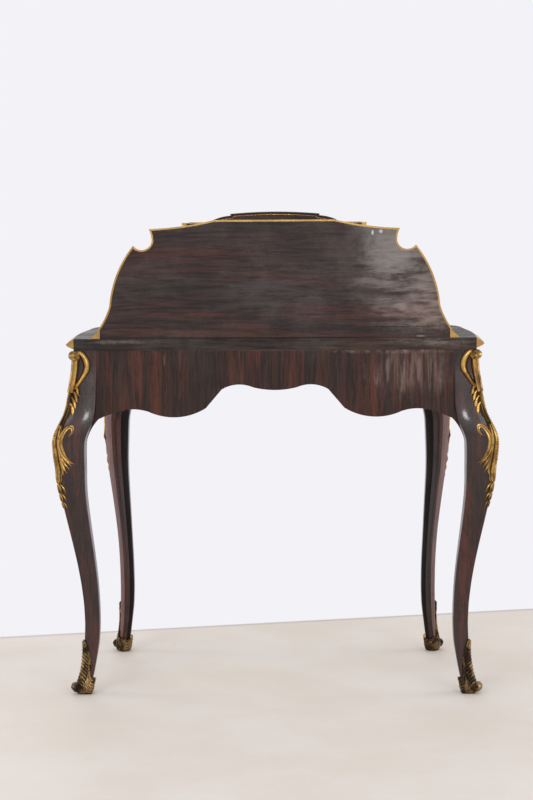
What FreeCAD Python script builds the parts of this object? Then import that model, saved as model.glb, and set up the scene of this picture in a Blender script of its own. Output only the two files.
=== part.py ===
import FreeCAD, Part
import math
import os
import Sketcher

# A bonheur du jour: a small writing table on four cabriole legs with one frieze drawer,
# and on its back half a low cabinet with a cupboard between two banks of two drawers.
# Millimetres. +Z up, floor at zero, X = 0 is the plane of symmetry, the front faces -Y.

V = FreeCAD.Vector
doc = FreeCAD.newDocument("BonheurDuJour")

sizes = {
    # table
    "writing_height": 750.0,
    "top_thickness": 24.0,
    "desk_depth": 463.0,
    "rear_face": 231.5,
    "top_rear_half": 414.8,
    "top_swell": 5.7,
    "top_shoulder_in": 19.5,
    "top_corner_in": 35.0,
    "top_corner_back": 17.0,
    "top_overhang": 2.0,
    "edge_projection": 16.0,
    "edge_height": 21.0,
    "leather_margin": 46.0,
    "leather_thickness": 1.5,
    # legs
    "post_inset": 21.4,
    "front_post_inset": 48.5,
    "rear_post_in": 24.8,
    "front_post_in": 38.0,
    "post_half": 22.0,
    "post_height": 690.0,
    "knee_half": 33.0,
    "knee_height": 542.0,
    "knee_throw": 48.0,
    "ankle_half": 15.3,
    "ankle_height": 150.0,
    "ankle_inset": 13.0,
    "rear_ankle_shift": 4.0,
    "front_ankle_shift": 8.0,
    "foot_throw": 20.0,
    "foot_half": 13.0,
    "foot_height": 16.0,
    "rear_knee_angle": 60.0,
    "front_knee_angle": 37.0,
    "sabot_thickness": 2.2,
    "sabot_height": 112.0,
    "toe_throw": 8.0,
    "toe_half": 18.5,
    "heel_height": 40.0,
    "toe_radius": 12.0,
    "toe_width": 27.0,
    "chute_foot": 398.0,
    "chute_top_gap": 3.0,
    "chute_relief": 4.2,
    "chute_head_relief": 8.5,
    "chute_head": 12.5,
    "chute_stem": 6.0,
    "chute_leaf": 12.0,
    "chute_knee": 17.0,
    "scroll_width": 25.0,
    "scroll_height": 62.0,
    "scroll_radius": 3.2,
    "knee_scroll_width": 22.0,
    "knee_scroll_height": 52.0,
    # aprons and rails
    "apron_thickness": 20.0,
    "apron_end": 584.0,
    "apron_arch": 654.0,
    "apron_drop": 643.0,
    "apron_lobe": 587.0,
    "apron_rise": 604.0,
    "apron_end_gap": 3.0,
    "bracket_width": 28.5,
    "bracket_drop": 54.0,
    "side_apron_thickness": 18.0,
    "side_apron_inset": 10.5,
    "side_apron_arch": 16.0,
    "top_rail_height": 11.5,
    "drawer_rail_height": 15.7,
    "drawer_rail_depth": 34.0,
    "runner_width": 34.0,
    "runner_guide_height": 30.0,
    # frieze drawer
    "frieze_end_gap": 3.5,
    "frieze_bow": 14.0,
    "frieze_end_thickness": 16.0,
    "frieze_setback": 12.0,
    "frieze_lift": 3.0,
    "frieze_box_inset": 10.5,
    "frieze_box_floor": 657.0,
    "frieze_box_depth": 330.0,
    "frieze_side_height": 50.0,
    "drawer_side": 9.0,
    "drawer_floor": 6.0,
    "drawer_floor_lift": 2.0,
    "running_gap": 0.35,
    "reveal": 1.0,
    # cabinet
    "stage_depth": 190.0,
    "panel_thickness": 12.0,
    "fillet_width": 3.5,
    "plinth_height": 19.0,
    "plinth_inset": 50.8,
    "cove_width": 19.0,
    "flank_waist_in": 24.0,
    "flank_waist_rise": 48.0,
    "flank_belly_in": 9.5,
    "flank_belly_rise": 97.0,
    "notch_tip_in": 40.5,
    "notch_over_bank": 21.0,
    "notch_low_in": 20.5,
    "notch_low_drop": 8.7,
    "notch_back_in": 18.0,
    "notch_back_rise": 8.0,
    "shoulder_out": 6.0,
    "shoulder_drop": 10.0,
    "crest_in": 68.5,
    "crest_rise": 7.7,
    "crest_mid_in": 65.5,
    "crest_mid_drop": 4.8,
    "wall_thickness": 10.0,
    "wall_inset": 4.0,
    "bank_rise": 139.0,
    "board_thickness": 12.0,
    "divider_thickness": 8.0,
    "cupboard_half": 170.0,
    "partition_thickness": 10.0,
    "cupboard_rise": 204.0,
    "shelf_rise": 97.0,
    "shelf_setback": 32.0,
    "cornice_projection": 9.5,
    "cornice_height": 8.0,
    "pediment_half": 131.0,
    "pediment_step_half": 95.0,
    "pediment_rise": 24.0,
    "pediment_thickness": 12.0,
    "pediment_setback": 3.0,
    # small drawers
    "small_front_thickness": 12.0,
    "small_side": 6.0,
    "small_floor": 4.0,
    "small_box_depth": 150.0,
    "small_gap": 0.6,
    "small_side_drop": 3.0,
    "knob_radius": 7.5,
    "knob_reach": 19.0,
    # door, locks and handles
    "door_thickness": 16.0,
    "door_gap": 1.0,
    "door_field_margin": 34.0,
    "door_field_depth": 2.0,
    "door_field_scoop": 14.0,
    "hinge_radius": 3.5,
    "hinge_height": 30.0,
    "hinge_margin": 28.0,
    "hinge_pin": 1.6,
    "pin_gap": 0.05,
    "leaf_width": 9.0,
    "leaf_thickness": 1.2,
    "lock_width": 40.0,
    "lock_height": 32.0,
    "lock_depth": 9.0,
    "lock_margin": 4.0,
    "lock_plate": 2.0,
    "case_gap": 0.3,
    "mortise_gap": 0.8,
    "bolt_width": 14.0,
    "bolt_thickness": 4.0,
    "bolt_throw": 7.0,
    "key_radius": 2.4,
    "key_bow_radius": 9.0,
    "key_reach": 30.0,
    "key_gap": 0.6,
    "key_bit": 8.0,
    "key_bow_thickness": 2.4,
    "plate_thickness": 1.6,
    "escutcheon_half_width": 13.0,
    "escutcheon_half_height": 20.0,
    "escutcheon_sink": 2.0,
    "handle_offset": 200.0,
    "handle_height": 668.0,
    "handle_half_span": 34.0,
    "handle_drop": 26.0,
    "handle_stand": 9.0,
    "bail_radius": 2.6,
    "bail_pin": 1.8,
    "handle_post": 4.6,
    "plate_half_width": 45.0,
    "plate_half_height": 13.0,
}

sheet = doc.addObject("Spreadsheet::Sheet", "Sizes")
for row, (alias, number) in enumerate(sizes.items(), start=1):
    sheet.set(f"A{row}", alias)
    sheet.set(f"B{row}", str(number))
    sheet.setAlias(f"B{row}", alias)
doc.recompute()


class Length:
    """A size that knows both its value and the spreadsheet expression that gives it."""

    def __init__(self, value, text):
        self.value = float(value)
        self.text = text

    def __float__(self):
        return self.value

    def joined(self, sign, other, value):
        return Length(value, f"({self.text} {sign} {as_length(other).text})")

    def __add__(self, other):
        return self.joined("+", other, self.value + float(other))

    def __sub__(self, other):
        return self.joined("-", other, self.value - float(other))

    def __mul__(self, other):
        return self.joined("*", other, self.value * float(other))

    def __truediv__(self, other):
        return self.joined("/", other, self.value / float(other))

    def __radd__(self, other):
        return as_length(other) + self

    def __rsub__(self, other):
        return as_length(other) - self

    def __rmul__(self, other):
        return as_length(other) * self

    def __neg__(self):
        return as_length(-1.0) * self


def as_length(number):
    if isinstance(number, Length):
        return number
    return Length(number, f"({float(number)})")


class Sizes:
    pass


s = Sizes()
for alias in sizes:
    setattr(s, alias, Length(float(sheet.get(alias)), f"Sizes.{alias}"))

nodes = []


def node(thing, label):
    """Marks an object of the document as a finished sub-part."""
    thing.Label = label
    nodes.append(thing)
    return thing


# ---- widths, levels and planes that several pieces share ----

top_middle_half = s.top_rear_half + s.top_swell
top_shoulder_half = top_middle_half - s.top_shoulder_in
top_corner_half = top_shoulder_half - s.top_corner_in
rear_post_x = s.top_rear_half - s.rear_post_in
front_post_x = rear_post_x - s.front_post_in
apron_half = rear_post_x - s.post_half - s.apron_end_gap
frieze_half_width = front_post_x - s.post_half - s.frieze_end_gap
frieze_box_half = frieze_half_width - s.frieze_box_inset
plinth_half = s.top_rear_half - s.plinth_inset
flank_waist_half = plinth_half - s.flank_waist_in
flank_belly_half = flank_waist_half - s.flank_belly_in
notch_tip_half = flank_belly_half - s.notch_tip_in
notch_low_half = notch_tip_half - s.notch_low_in
notch_back_half = notch_low_half - s.notch_back_in
shoulder_half = notch_back_half + s.shoulder_out
crest_mid_half = shoulder_half - s.crest_mid_in
crest_half = crest_mid_half - s.crest_in
top_under = s.writing_height - s.top_thickness
front_edge = s.rear_face - s.desk_depth
stage_front = s.rear_face - s.stage_depth
panel_front = s.rear_face - s.panel_thickness
plinth_top = s.writing_height + s.plinth_height
bank_height = plinth_top + s.bank_rise
bank_top = bank_height + s.board_thickness
cupboard_height = plinth_top + s.cupboard_rise
cabinet_top = cupboard_height + s.board_thickness
shelf_height = plinth_top + s.shelf_rise
partition_out = s.cupboard_half + s.partition_thickness
rear_post_y = s.rear_face - s.post_inset
front_post_y = front_edge + s.front_post_inset
post_spacing = rear_post_y - front_post_y


# ---- operations ----

def plane_of(body, role):
    for feature in body.Origin.OriginFeatures:
        if feature.Role == role:
            return feature


def sketch_in(body, role, geometry, name, offset=None):
    """A closed profile on one of the body's own origin planes."""
    sketch = body.newObject("Sketcher::SketchObject", name)
    sketch.AttachmentSupport = [(plane_of(body, role), "")]
    sketch.MapMode = "FlatFace"
    for piece in geometry:
        sketch.addGeometry(piece, False)
    join_ends(sketch)
    if offset is not None:
        sketch.setExpression("AttachmentOffset.Base.z", as_length(offset).text)
    return sketch


def join_ends(sketch):
    """Coincident constraints where the pieces of a profile meet."""
    ends = []
    for index, piece in enumerate(sketch.Geometry):
        if piece.TypeId == "Part::GeomCircle":
            continue
        ends.append((index, 1, piece.StartPoint))
        ends.append((index, 2, piece.EndPoint))
    for i, (first, first_end, here) in enumerate(ends):
        for second, second_end, there in ends[i + 1:]:
            if second != first and here.distanceToPoint(there) < 1e-6:
                sketch.addConstraint(
                    Sketcher.Constraint("Coincident", first, first_end, second, second_end))


def polygon(points):
    """Straight lines round a list of points, closed."""
    corners = [V(float(x), float(y), 0) for x, y in points]
    return [Part.LineSegment(a, b) for a, b in zip(corners, corners[1:] + corners[:1])]


def arc(a, b, c):
    """The arc from a through b to c, always drawn counter-clockwise."""
    a, b, c = (V(float(x), float(y), 0) for x, y in (a, b, c))
    if (b - a).cross(c - b).z < 0:
        a, c = c, a
    return Part.Arc(a, b, c)


def line(a, b):
    return Part.LineSegment(V(float(a[0]), float(a[1]), 0), V(float(b[0]), float(b[1]), 0))


def spline(points):
    curve = Part.BSplineCurve()
    curve.interpolate([V(float(x), float(y), 0) for x, y in points])
    return curve


def pad(name, role, geometry, start, end):
    """A body padded from start to end along the normal of an origin plane, in the row's axes."""
    body = doc.addObject("PartDesign::Body", name)
    length = as_length(end) - start
    # the XZ plane's normal is -Y, so its offset counts from the far side, negated
    offset = -as_length(end) if role == "XZ_Plane" else as_length(start)
    profile = sketch_in(body, role, geometry, name + "_profile", offset)
    feature = body.newObject("PartDesign::Pad", name + "_pad")
    feature.Profile = profile
    feature.setExpression("Length", length.text)
    profile.Visibility = False
    return body


def pocket(body, role, geometry, start, end, name):
    """Cuts a profile out of a body between two planes of the row's axes."""
    length = as_length(end) - start
    offset = -as_length(start) if role == "XZ_Plane" else as_length(end)
    profile = sketch_in(body, role, geometry, name + "_profile", offset)
    feature = body.newObject("PartDesign::Pocket", name)
    feature.Profile = profile
    feature.setExpression("Length", length.text)
    return feature


def box(name, x, y, z):
    """A board between pairs of planes, each bound to the sheet."""
    board = doc.addObject("Part::Box", name)
    for side, (low, high) in zip(("Length", "Width", "Height"), (x, y, z)):
        board.setExpression(side, (as_length(high) - low).text)
    for axis, (low, high) in zip("xyz", (x, y, z)):
        board.setExpression(f"Placement.Base.{axis}", as_length(low).text)
    return board


def rod(name, radius, length, start, direction):
    """A cylinder from a point along a direction."""
    cylinder = doc.addObject("Part::Cylinder", name)
    cylinder.setExpression("Radius", as_length(radius).text)
    cylinder.setExpression("Height", as_length(length).text)
    place = V(*(float(c) for c in start))
    cylinder.Placement = FreeCAD.Placement(place, FreeCAD.Rotation(V(0, 0, 1), V(*direction)))
    return cylinder


def cut(name, base, *tools):
    result = base
    for index, tool in enumerate(tools):
        step = doc.addObject("Part::Cut", f"{name}_cut{index}")
        step.Base = result
        step.Tool = tool
        result = step
    return result


def common(name, base, tool):
    result = doc.addObject("Part::Common", name)
    result.Base = base
    result.Tool = tool
    return result


def fuse(name, *shapes):
    result = doc.addObject("Part::MultiFuse", name)
    result.Shapes = list(shapes)
    return result


def group(name, *shapes):
    """Several separate solids of one kind in one node."""
    result = doc.addObject("Part::Compound", name)
    result.Links = list(shapes)
    return result


def mirrored(name, source):
    result = doc.addObject("Part::Mirroring", name)
    result.Source = source
    result.Base = V(0, 0, 0)
    result.Normal = V(1, 0, 0)
    return result


# ---- cabriole legs ----

corner_share = 0.2
taper_power = 1.5
shank_sections = 9
# share of the way from knee to post, and what is left there of the knee's throw and swell
knee_to_post = (
    (0.12, 0.82, 1.01), (0.25, 0.56, 0.96), (0.42, 0.3, 0.7), (0.67, 0.13, 0.33), (1.0, 0.0, 0.0))
# from the sabot's rim down: share of the height, of the foot's throw, and of its narrowing
rim_to_foot = ((1.0, 0.1, 0.1), (0.62, 0.3, 1.0), (0.3, 0.62, 1.05), (0.0, 1.0, 1.0))


def rounded_square(half):
    """Flats and corner arcs of a leg's section, always begun at the same corner."""
    radius = half * corner_share
    flat = half - radius
    edges = []
    diagonal = flat + radius * math.sqrt(0.5)
    for turn in range(4):
        points = ((half, -flat), (half, flat), (diagonal, diagonal), (flat, half))
        corner = [spun(point, 90 * turn) for point in points]
        edges.append(line(corner[0], corner[1]))
        edges.append(arc(*corner[1:]))
    return edges


def spun(point, degrees):
    angle = math.radians(degrees)
    x, y = point
    return (x * math.cos(angle) - y * math.sin(angle), x * math.sin(angle) + y * math.cos(angle))


class LegPlan:
    """Where one leg stands: its post, its ankle and the way its knee points."""

    def __init__(self, post_x, post_y, ankle_shift, knee_angle, side):
        self.post = (float(post_x), float(post_y))
        self.ankle = (float(post_x - ankle_shift), float(post_y) - side * float(s.ankle_inset))
        angle = math.radians(float(knee_angle))
        self.way = (math.sin(angle), side * math.cos(angle))
        self.side = side

    def beyond_ankle(self, throw):
        return (self.ankle[0] + self.way[0] * throw, self.ankle[1] + self.way[1] * throw)


rear_plan = LegPlan(rear_post_x, rear_post_y, s.rear_ankle_shift, s.rear_knee_angle, 1)
front_plan = LegPlan(front_post_x, front_post_y, s.front_ankle_shift, s.front_knee_angle, -1)


def leg_stations(plan):
    """(height, centre, half width) of the sections from the post down to the foot."""
    knee_z, post_z = float(s.knee_height), float(s.post_height)
    ankle_z = float(s.ankle_height)
    post, knee, ankle = float(s.post_half), float(s.knee_half), float(s.ankle_half)
    knee_centre = plan.beyond_ankle(float(s.knee_throw))
    stations = [(float(top_under), plan.post, post)]
    for share, throw, swell in reversed(knee_to_post):
        centre = tuple(p + (k - p) * throw for p, k in zip(plan.post, knee_centre))
        stations.append((knee_z + (post_z - knee_z) * share, centre, post + (knee - post) * swell))
    stations.append((knee_z, knee_centre, knee * 0.97))
    for index in range(shank_sections - 1, 0, -1):
        share = index / shank_sections
        throw = float(s.knee_throw) * (1 - math.cos(math.pi * share)) / 2
        half = ankle + (knee - ankle) * share ** taper_power
        stations.append((ankle_z + (knee_z - ankle_z) * share, plan.beyond_ankle(throw), half))
    stations.append((ankle_z, plan.ankle, ankle))
    return stations + foot_stations(plan)


def foot_stations(plan):
    """Sections from the sabot's rim down to the end of the wood."""
    foot, foot_half, ankle = float(s.foot_throw), float(s.foot_half), float(s.ankle_half)
    rim_z, foot_z = float(s.sabot_height), float(s.foot_height)
    stations = []
    for share, throw, narrow in rim_to_foot:
        half = ankle + (foot_half - ankle) * narrow
        stations.append((foot_z + (rim_z - foot_z) * share, plan.beyond_ankle(foot * throw), half))
    return stations


def section_loft(name, stations):
    """A body lofted through horizontal rounded squares."""
    body = doc.addObject("PartDesign::Body", name)
    sketches = []
    for index, (height, centre, half) in enumerate(stations):
        sketch = sketch_in(body, "XY_Plane", rounded_square(half), f"{name}_section{index}")
        sketch.AttachmentOffset = FreeCAD.Placement(V(centre[0], centre[1], height), FreeCAD.Rotation())
        sketches.append(sketch)
    loft = body.newObject("PartDesign::AdditiveLoft", name + "_loft")
    loft.Profile = sketches[0]
    loft.Sections = sketches[1:]
    loft.Ruled = True
    return body


def leg(name, plan):
    return section_loft(name, leg_stations(plan))


def leg_at(plan, height):
    """Centre and half width of the leg at any height, along its straight runs between sections."""
    stations = leg_stations(plan)
    for (top, high, wide), (low, deep, slim) in zip(stations, stations[1:]):
        if top >= height >= low:
            share = (top - height) / (top - low)
            centre = tuple(a + (b - a) * share for a, b in zip(high, deep))
            return centre, wide + (slim - wide) * share
    raise ValueError(f"the leg has no section at {height}")


def arris_at(plan, height, proud):
    """A point beside the leg's outer corner, proud of the wood by a distance."""
    centre, half = leg_at(plan, height)
    away = half * (1 - corner_share * (1 - math.sqrt(0.5))) + proud
    return V(centre[0] + away, centre[1] + away * plan.side, height)


def face_at(plan, height, across, proud):
    """A point on one of the two faces beside the leg's outer corner, which lies across away."""
    centre, half = leg_at(plan, height)
    away, beside = half + proud, half - abs(across)
    x, y = (away, beside) if across > 0 else (beside, away)
    return V(centre[0] + x, centre[1] + y * plan.side, height)


def sabot(name, plan, wood):
    """The bronze shoe: a cup round the foot, its rim rising from the heel to a leaf's tip on the
    outer corner, and its toe rolled up into a scroll."""
    foot, toe, wall = float(s.foot_throw), float(s.toe_throw), float(s.sabot_thickness)
    foot_z, toe_half = float(s.foot_height), float(s.toe_half)
    # the blank runs on up the leg, so that its wall keeps an even thickness up to the rim
    stations = [(height, centre, half + wall) for height, centre, half in leg_stations(plan)[-6:-1]]
    stations += [
        (foot_z * 1.3, plan.beyond_ankle(foot + toe * 0.1), toe_half * 0.86),
        (foot_z * 0.6, plan.beyond_ankle(foot + toe * 0.5), toe_half * 0.95),
        (0.0, plan.beyond_ankle(foot + toe * 0.4), toe_half * 0.86),
    ]
    blank = section_loft(name + "_blank", stations)
    # the rim is a slanting cut, from the heel's height at the inner corner up to the tip
    (tip_x, tip_y), half = leg_at(plan, float(s.sabot_height))
    run = half * 2 * math.sqrt(2)
    slope = math.atan2(float(s.sabot_height - s.heel_height), run)
    over_rim = doc.addObject("Part::Box", name + "_over_rim")
    over_rim.setExpression("Length", s.writing_height.text)
    over_rim.setExpression("Width", s.writing_height.text)
    over_rim.setExpression("Height", s.writing_height.text)
    facing = FreeCAD.Rotation(V(0, 0, 1), math.degrees(math.atan2(plan.way[1], plan.way[0])))
    tilt = FreeCAD.Rotation(V(0, 1, 0), -math.degrees(slope))
    rim_middle = V(tip_x, tip_y, float(s.heel_height + s.sabot_height) / 2)
    half_box = float(s.writing_height) / 2
    centred = FreeCAD.Placement(V(-half_box, -half_box, 0), FreeCAD.Rotation())
    over_rim.Placement = FreeCAD.Placement(rim_middle, facing.multiply(tilt)).multiply(centred)
    cup = cut(name + "_cup", blank, wood, over_rim)
    across = (-plan.way[1], plan.way[0])
    reach = float(s.toe_width) / 2
    nose = plan.beyond_ankle(foot + toe + float(s.toe_radius) * 0.5)
    scroll = rod(name + "_scroll", s.toe_radius, s.toe_width,
                 (nose[0] - across[0] * reach, nose[1] - across[1] * reach, float(s.toe_radius)),
                 (across[0], across[1], 0))
    return cut(name, fuse(name + "_whole", cup, scroll), wood)


def strand(name, stations):
    """A bar of eight flats that follows stations of (point, radius), tapering between them."""
    body = doc.addObject("PartDesign::Body", name)
    sections = []
    for index, (point, radius) in enumerate(stations):
        before, after = stations[max(index - 1, 0)][0], stations[min(index + 1, len(stations) - 1)][0]
        run = FreeCAD.Rotation(V(0, 1, 0), V(0, 0, 0), after - before, "ZYX")
        corners = []
        for step in range(8):
            angle = math.radians(22.5 + 45 * step)
            corners.append((radius * math.cos(angle), radius * math.sin(angle)))
        sketch = sketch_in(body, "XY_Plane", polygon(corners), f"{name}_section{index}")
        sketch.AttachmentOffset = FreeCAD.Placement(point, run)
        sections.append(sketch)
    loft = body.newObject("PartDesign::AdditiveLoft", name + "_loft")
    loft.Profile = sections[0]
    loft.Sections = sections[1:]
    loft.Ruled = True
    return body


def chute(name, plan, wood):
    """The knee mount: a stem down the outer corner that swells into leaves, an open scroll on each
    face beside its upper part, and a smaller one on each face of the knee."""
    knee_z, foot_z = float(s.knee_height), float(s.chute_foot)
    top_z = float(top_under - s.chute_top_gap)
    head, stem = float(s.chute_head), float(s.chute_stem)
    leaf, knee = float(s.chute_leaf), float(s.chute_knee)
    wide, tall = float(s.scroll_width), float(s.scroll_height)
    scroll_top = top_z - head
    scroll_low = scroll_top - tall
    relief, head_relief = float(s.chute_relief), float(s.chute_head_relief)
    # (height, radius, how far it stands proud of the corner)
    swells = [
        (top_z, head * 0.7, head_relief), (top_z - head * 0.8, head, head_relief),
        (top_z - head * 1.6, head * 0.7, head_relief), (top_z - head * 2.4, stem, relief),
        (scroll_low + tall * 0.13, stem, relief), (scroll_low - leaf, leaf * 0.8, relief),
        (scroll_low - leaf * 2.5, leaf, relief), (knee_z + knee * 2.8, stem * 1.3, relief),
        (knee_z + knee * 1.75, knee * 0.75, relief), (knee_z + knee * 0.45, knee, relief),
        (knee_z - knee * 1.3, knee * 0.9, relief), (knee_z - knee * 3.05, knee * 0.55, relief),
        (knee_z - knee * 3.65, stem * 0.9, relief), (knee_z - knee * 4.7, stem * 1.35, relief),
        (foot_z + stem * 4.3, stem, relief), (foot_z, stem * 0.4, relief),
    ]
    stem_route = []
    for height, radius, rise in swells:
        sunk = min((rise - radius) * math.sqrt(0.5), 0.0)
        stem_route.append((arris_at(plan, height, sunk), radius))
    parts = [strand(name + "_stem", stem_route)]
    thick = float(s.scroll_radius)
    knee_wide, knee_tall = float(s.knee_scroll_width), float(s.knee_scroll_height)
    knee_top = knee_z + knee_tall * 0.4
    # each bow: (height, distance from the corner)
    scroll = [(scroll_top, thick), (scroll_top - tall * 0.1, wide * 0.55), (scroll_top - tall * 0.25, wide * 0.9),
              (scroll_top - tall * 0.5, wide), (scroll_top - tall * 0.75, wide * 0.75),
              (scroll_top - tall * 0.9, wide * 0.4), (scroll_low, thick)]
    knee_scroll = [(knee_top, knee_wide * 0.7), (knee_top - knee_tall * 0.25, knee_wide * 0.35),
                   (knee_top - knee_tall * 0.6, knee_wide * 0.35), (knee_top - knee_tall * 0.85, knee_wide * 0.7),
                   (knee_top - knee_tall, knee_wide * 1.1)]
    for side, word in ((1, "side"), (-1, "face")):
        for bow, part in ((scroll, "scroll"), (knee_scroll, "knee_scroll")):
            route = [(face_at(plan, height, side * across, thick * 0.1), thick) for height, across in bow]
            parts.append(strand(f"{name}_{part}_{word}", route))
    carved = cut(name + "_carved", fuse(name + "_whole", *parts), *wood)
    doc.recompute()
    mount = doc.addObject("Part::Feature", name)
    # the cuts can leave a sliver beside the mount
    mount.Shape = max(carved.Shape.Solids, key=lambda solid: solid.Volume)
    return mount


legs = {}
for row, plan in (("rear", rear_plan), ("front", front_plan)):
    right = node(leg(f"{row}_leg", plan), f"leg_{row}_right")
    left = node(mirrored(f"{row}_leg_mirror", right), f"leg_{row}_left")
    legs[row] = (right, left)
    shoe = sabot(f"{row}_sabot", plan, right)
    node(group(f"{row}_sabot_pair", shoe, mirrored(f"{row}_sabot_mirror", shoe)), f"{row}_sabots")


# ---- aprons, rails and runners ----

def apron_edge(half, lift, end_height):
    """The shaped lower edge, from the left end to the right: a drop between two arches,
    a lobe on each side, and a rise before the leg."""
    half = float(half)
    drop, arch = float(s.apron_drop) + lift, float(s.apron_arch) + lift
    lobe, rise = float(s.apron_lobe) + lift, float(s.apron_rise) + lift
    middle = (drop + arch) / 2
    shoulder = arch - (arch - lobe) * 0.14
    hollow = lobe + (arch - lobe) * 0.28
    foot = lobe + (rise - lobe) * 0.7
    fall = rise - end_height
    # (share of the half length, height) of the right side, in arcs of three points
    bend = (0.91, rise - fall * 0.35)
    right = [
        ((0.123, middle), (0.226, arch), (0.301, shoulder)),
        ((0.392, hollow), (0.562, lobe), (0.718, foot)),
        ((0.718, foot), (0.814, rise), bend),
        (bend, (0.959, rise - fall * 0.68), (1.0, end_height)),
    ]
    edge = [arc((-0.123 * half, middle), (0, drop), (0.123 * half, middle))]
    for side in (half, -half):
        for triple in right:
            edge.append(arc(*((side * share, z) for share, z in triple)))
        edge.append(line((side * 0.301, shoulder), (side * 0.392, hollow)))
    return edge


def apron_profile(half, lift, end_height, top, width=0.0, drop=0.0):
    """The edge closed by straight ends and top. With a width and a drop, each end first curves
    down in a bracket beside the leg."""
    half, top, width, drop = float(half), float(top), float(width), float(drop)
    edge = apron_edge(half, lift, end_height)
    low, reach = end_height - drop, half + width
    if drop:
        for side in (1, -1):
            edge.append(arc((side * half, end_height), (side * (half + width * 0.6), end_height - drop * 0.42),
                            (side * reach, low)))
    edge += [line((reach, low), (reach, top)), line((reach, top), (-reach, top)),
             line((-reach, top), (-reach, low))]
    return edge


board = pad("back_apron_board", "XZ_Plane",
            apron_profile(apron_half, 0.0, float(s.apron_end), top_under, s.bracket_width, s.bracket_drop),
            s.rear_face - s.apron_thickness, s.rear_face)
node(cut("back_apron", board, *legs["rear"]), "back_apron")

# the side aprons swell in plan from the rear posts to the front posts
side_outer = (
    (rear_post_x + s.post_half - 3.0, rear_post_y),
    (top_middle_half - s.side_apron_inset, rear_post_y - post_spacing * 0.45),
    (front_post_x + s.post_half - 1.0, front_post_y),
)
side_inner = tuple((x - s.side_apron_thickness, y) for x, y in side_outer)
side_plan = [arc(*side_outer), line(side_outer[2], side_inner[2]),
             arc(*side_inner), line(side_inner[0], side_outer[0])]
side_board = pad("side_apron_board", "XY_Plane", side_plan, s.apron_end, top_under)
side_middle = float(rear_post_y - post_spacing * 0.5)
side_ends = float(post_spacing) / 2 - float(s.post_half)
side_low = float(s.apron_end) - 1.0
arch_foot = (side_middle - side_ends, side_low)
arch_end = (side_middle + side_ends, side_low)
side_cut = [arc(arch_foot, (side_middle, side_low + 1.0 + float(s.side_apron_arch)), arch_end),
            line(arch_foot, arch_end)]
pocket(side_board, "YZ_Plane", side_cut, 0.0, top_middle_half, "side_apron_arch")
side_right = node(cut("side_apron", side_board, legs["rear"][0], legs["front"][0]), "side_apron_right")
node(mirrored("side_apron_mirror", side_right), "side_apron_left")

frieze_front = front_edge + s.frieze_setback          # the drawer front's face at the centre
frieze_end = frieze_front + s.frieze_bow              # and at its ends
frieze_back = frieze_end + s.frieze_end_thickness     # its flat inner face


def bow_plan(half, back):
    """A board's plan: the bowed front face, square ends and a flat back."""
    half, back = float(half), float(back)
    bow = float(s.frieze_bow) * (half / float(frieze_half_width)) ** 2
    ends = float(frieze_front) + bow
    return [arc((-half, ends), (0, frieze_front), (half, ends)), line((half, ends), (half, back)),
            line((half, back), (-half, back)), line((-half, back), (-half, ends))]


top_rail_low = top_under - s.top_rail_height
frieze_top = top_rail_low - s.reveal
rail_back = frieze_back + 0.5 + s.drawer_rail_depth
top_rail_board = pad("top_rail_board", "XY_Plane", bow_plan(front_post_x, rail_back),
                     top_rail_low, top_under)
bolt_y = frieze_back + s.lock_depth / 2
mortise_half = s.bolt_width / 2 + s.mortise_gap
mortise_depth = s.bolt_thickness / 2 + s.mortise_gap
mortise = box("top_rail_mortise", (-mortise_half, mortise_half),
              (bolt_y - mortise_depth, bolt_y + mortise_depth),
              (top_rail_low - 1.0, top_rail_low + s.bolt_throw + s.mortise_gap))
top_rail = node(cut("top_rail", top_rail_board, *legs["front"], mortise), "top_rail")

runner_top = s.frieze_box_floor - s.running_gap
rail_low = runner_top - s.drawer_rail_height
drawer_rail_board = box("drawer_rail_board", (-front_post_x, front_post_x),
                        (frieze_back + 0.5, rail_back), (rail_low, runner_top))
node(cut("drawer_rail", drawer_rail_board, *legs["front"]), "drawer_rail")

for row, plan in (("rear", rear_plan), ("front", front_plan)):
    mount = chute(f"{row}_chute", plan, (legs[row][0], side_right, top_rail))
    node(group(f"{row}_chute_pair", mount, mirrored(f"{row}_chute_mirror", mount)), f"{row}_chutes")

guide_x = frieze_box_half + s.running_gap
runner_in = frieze_box_half - s.drawer_side - 3.0
runner_out = runner_in + s.runner_width
back_apron_face = s.rear_face - s.apron_thickness
guide_top = runner_top + s.runner_guide_height
runner_profile = polygon([(runner_in, rail_low), (runner_out, rail_low), (runner_out, guide_top),
                          (guide_x, guide_top), (guide_x, runner_top), (runner_in, runner_top)])
runner = pad("drawer_runner", "XZ_Plane", runner_profile, rail_back, back_apron_face)
node(group("drawer_runner_pair", runner, mirrored("drawer_runner_mirror", runner)), "drawer_runners")


# ---- the top, its brass edge and its leather ----

top_rear = s.rear_face + s.top_overhang


def top_points(grow):
    """Points of the top's edge from the rear right corner round to the rear left, moved out by grow."""
    depth = float(s.desk_depth)
    rear, front = float(top_rear), float(front_edge)
    middle, shoulder = float(top_middle_half), float(top_shoulder_half)
    corner, back = float(top_corner_half), float(s.top_corner_back)
    half = [
        (float(s.top_rear_half), rear), (middle, rear - depth * 0.42),
        ((middle + shoulder * 0.5) / 1.5 - 0.5, rear - depth * 0.7), (shoulder, rear - depth * 0.88),
        (corner, front + back), (corner * 0.78, front + back * 0.86),
        (corner * 0.4, front + back * 0.3), (0.0, front),
    ]
    points = half + [(-x, y) for x, y in reversed(half[:-1])]
    if not grow:
        return points
    curve = spline(points)
    moved = []
    for x, y in points:
        parameter = curve.parameter(V(x, y, 0))
        way = curve.tangent(parameter)[0]
        moved.append((x + way.y * -grow, y + way.x * grow))
    return moved


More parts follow.
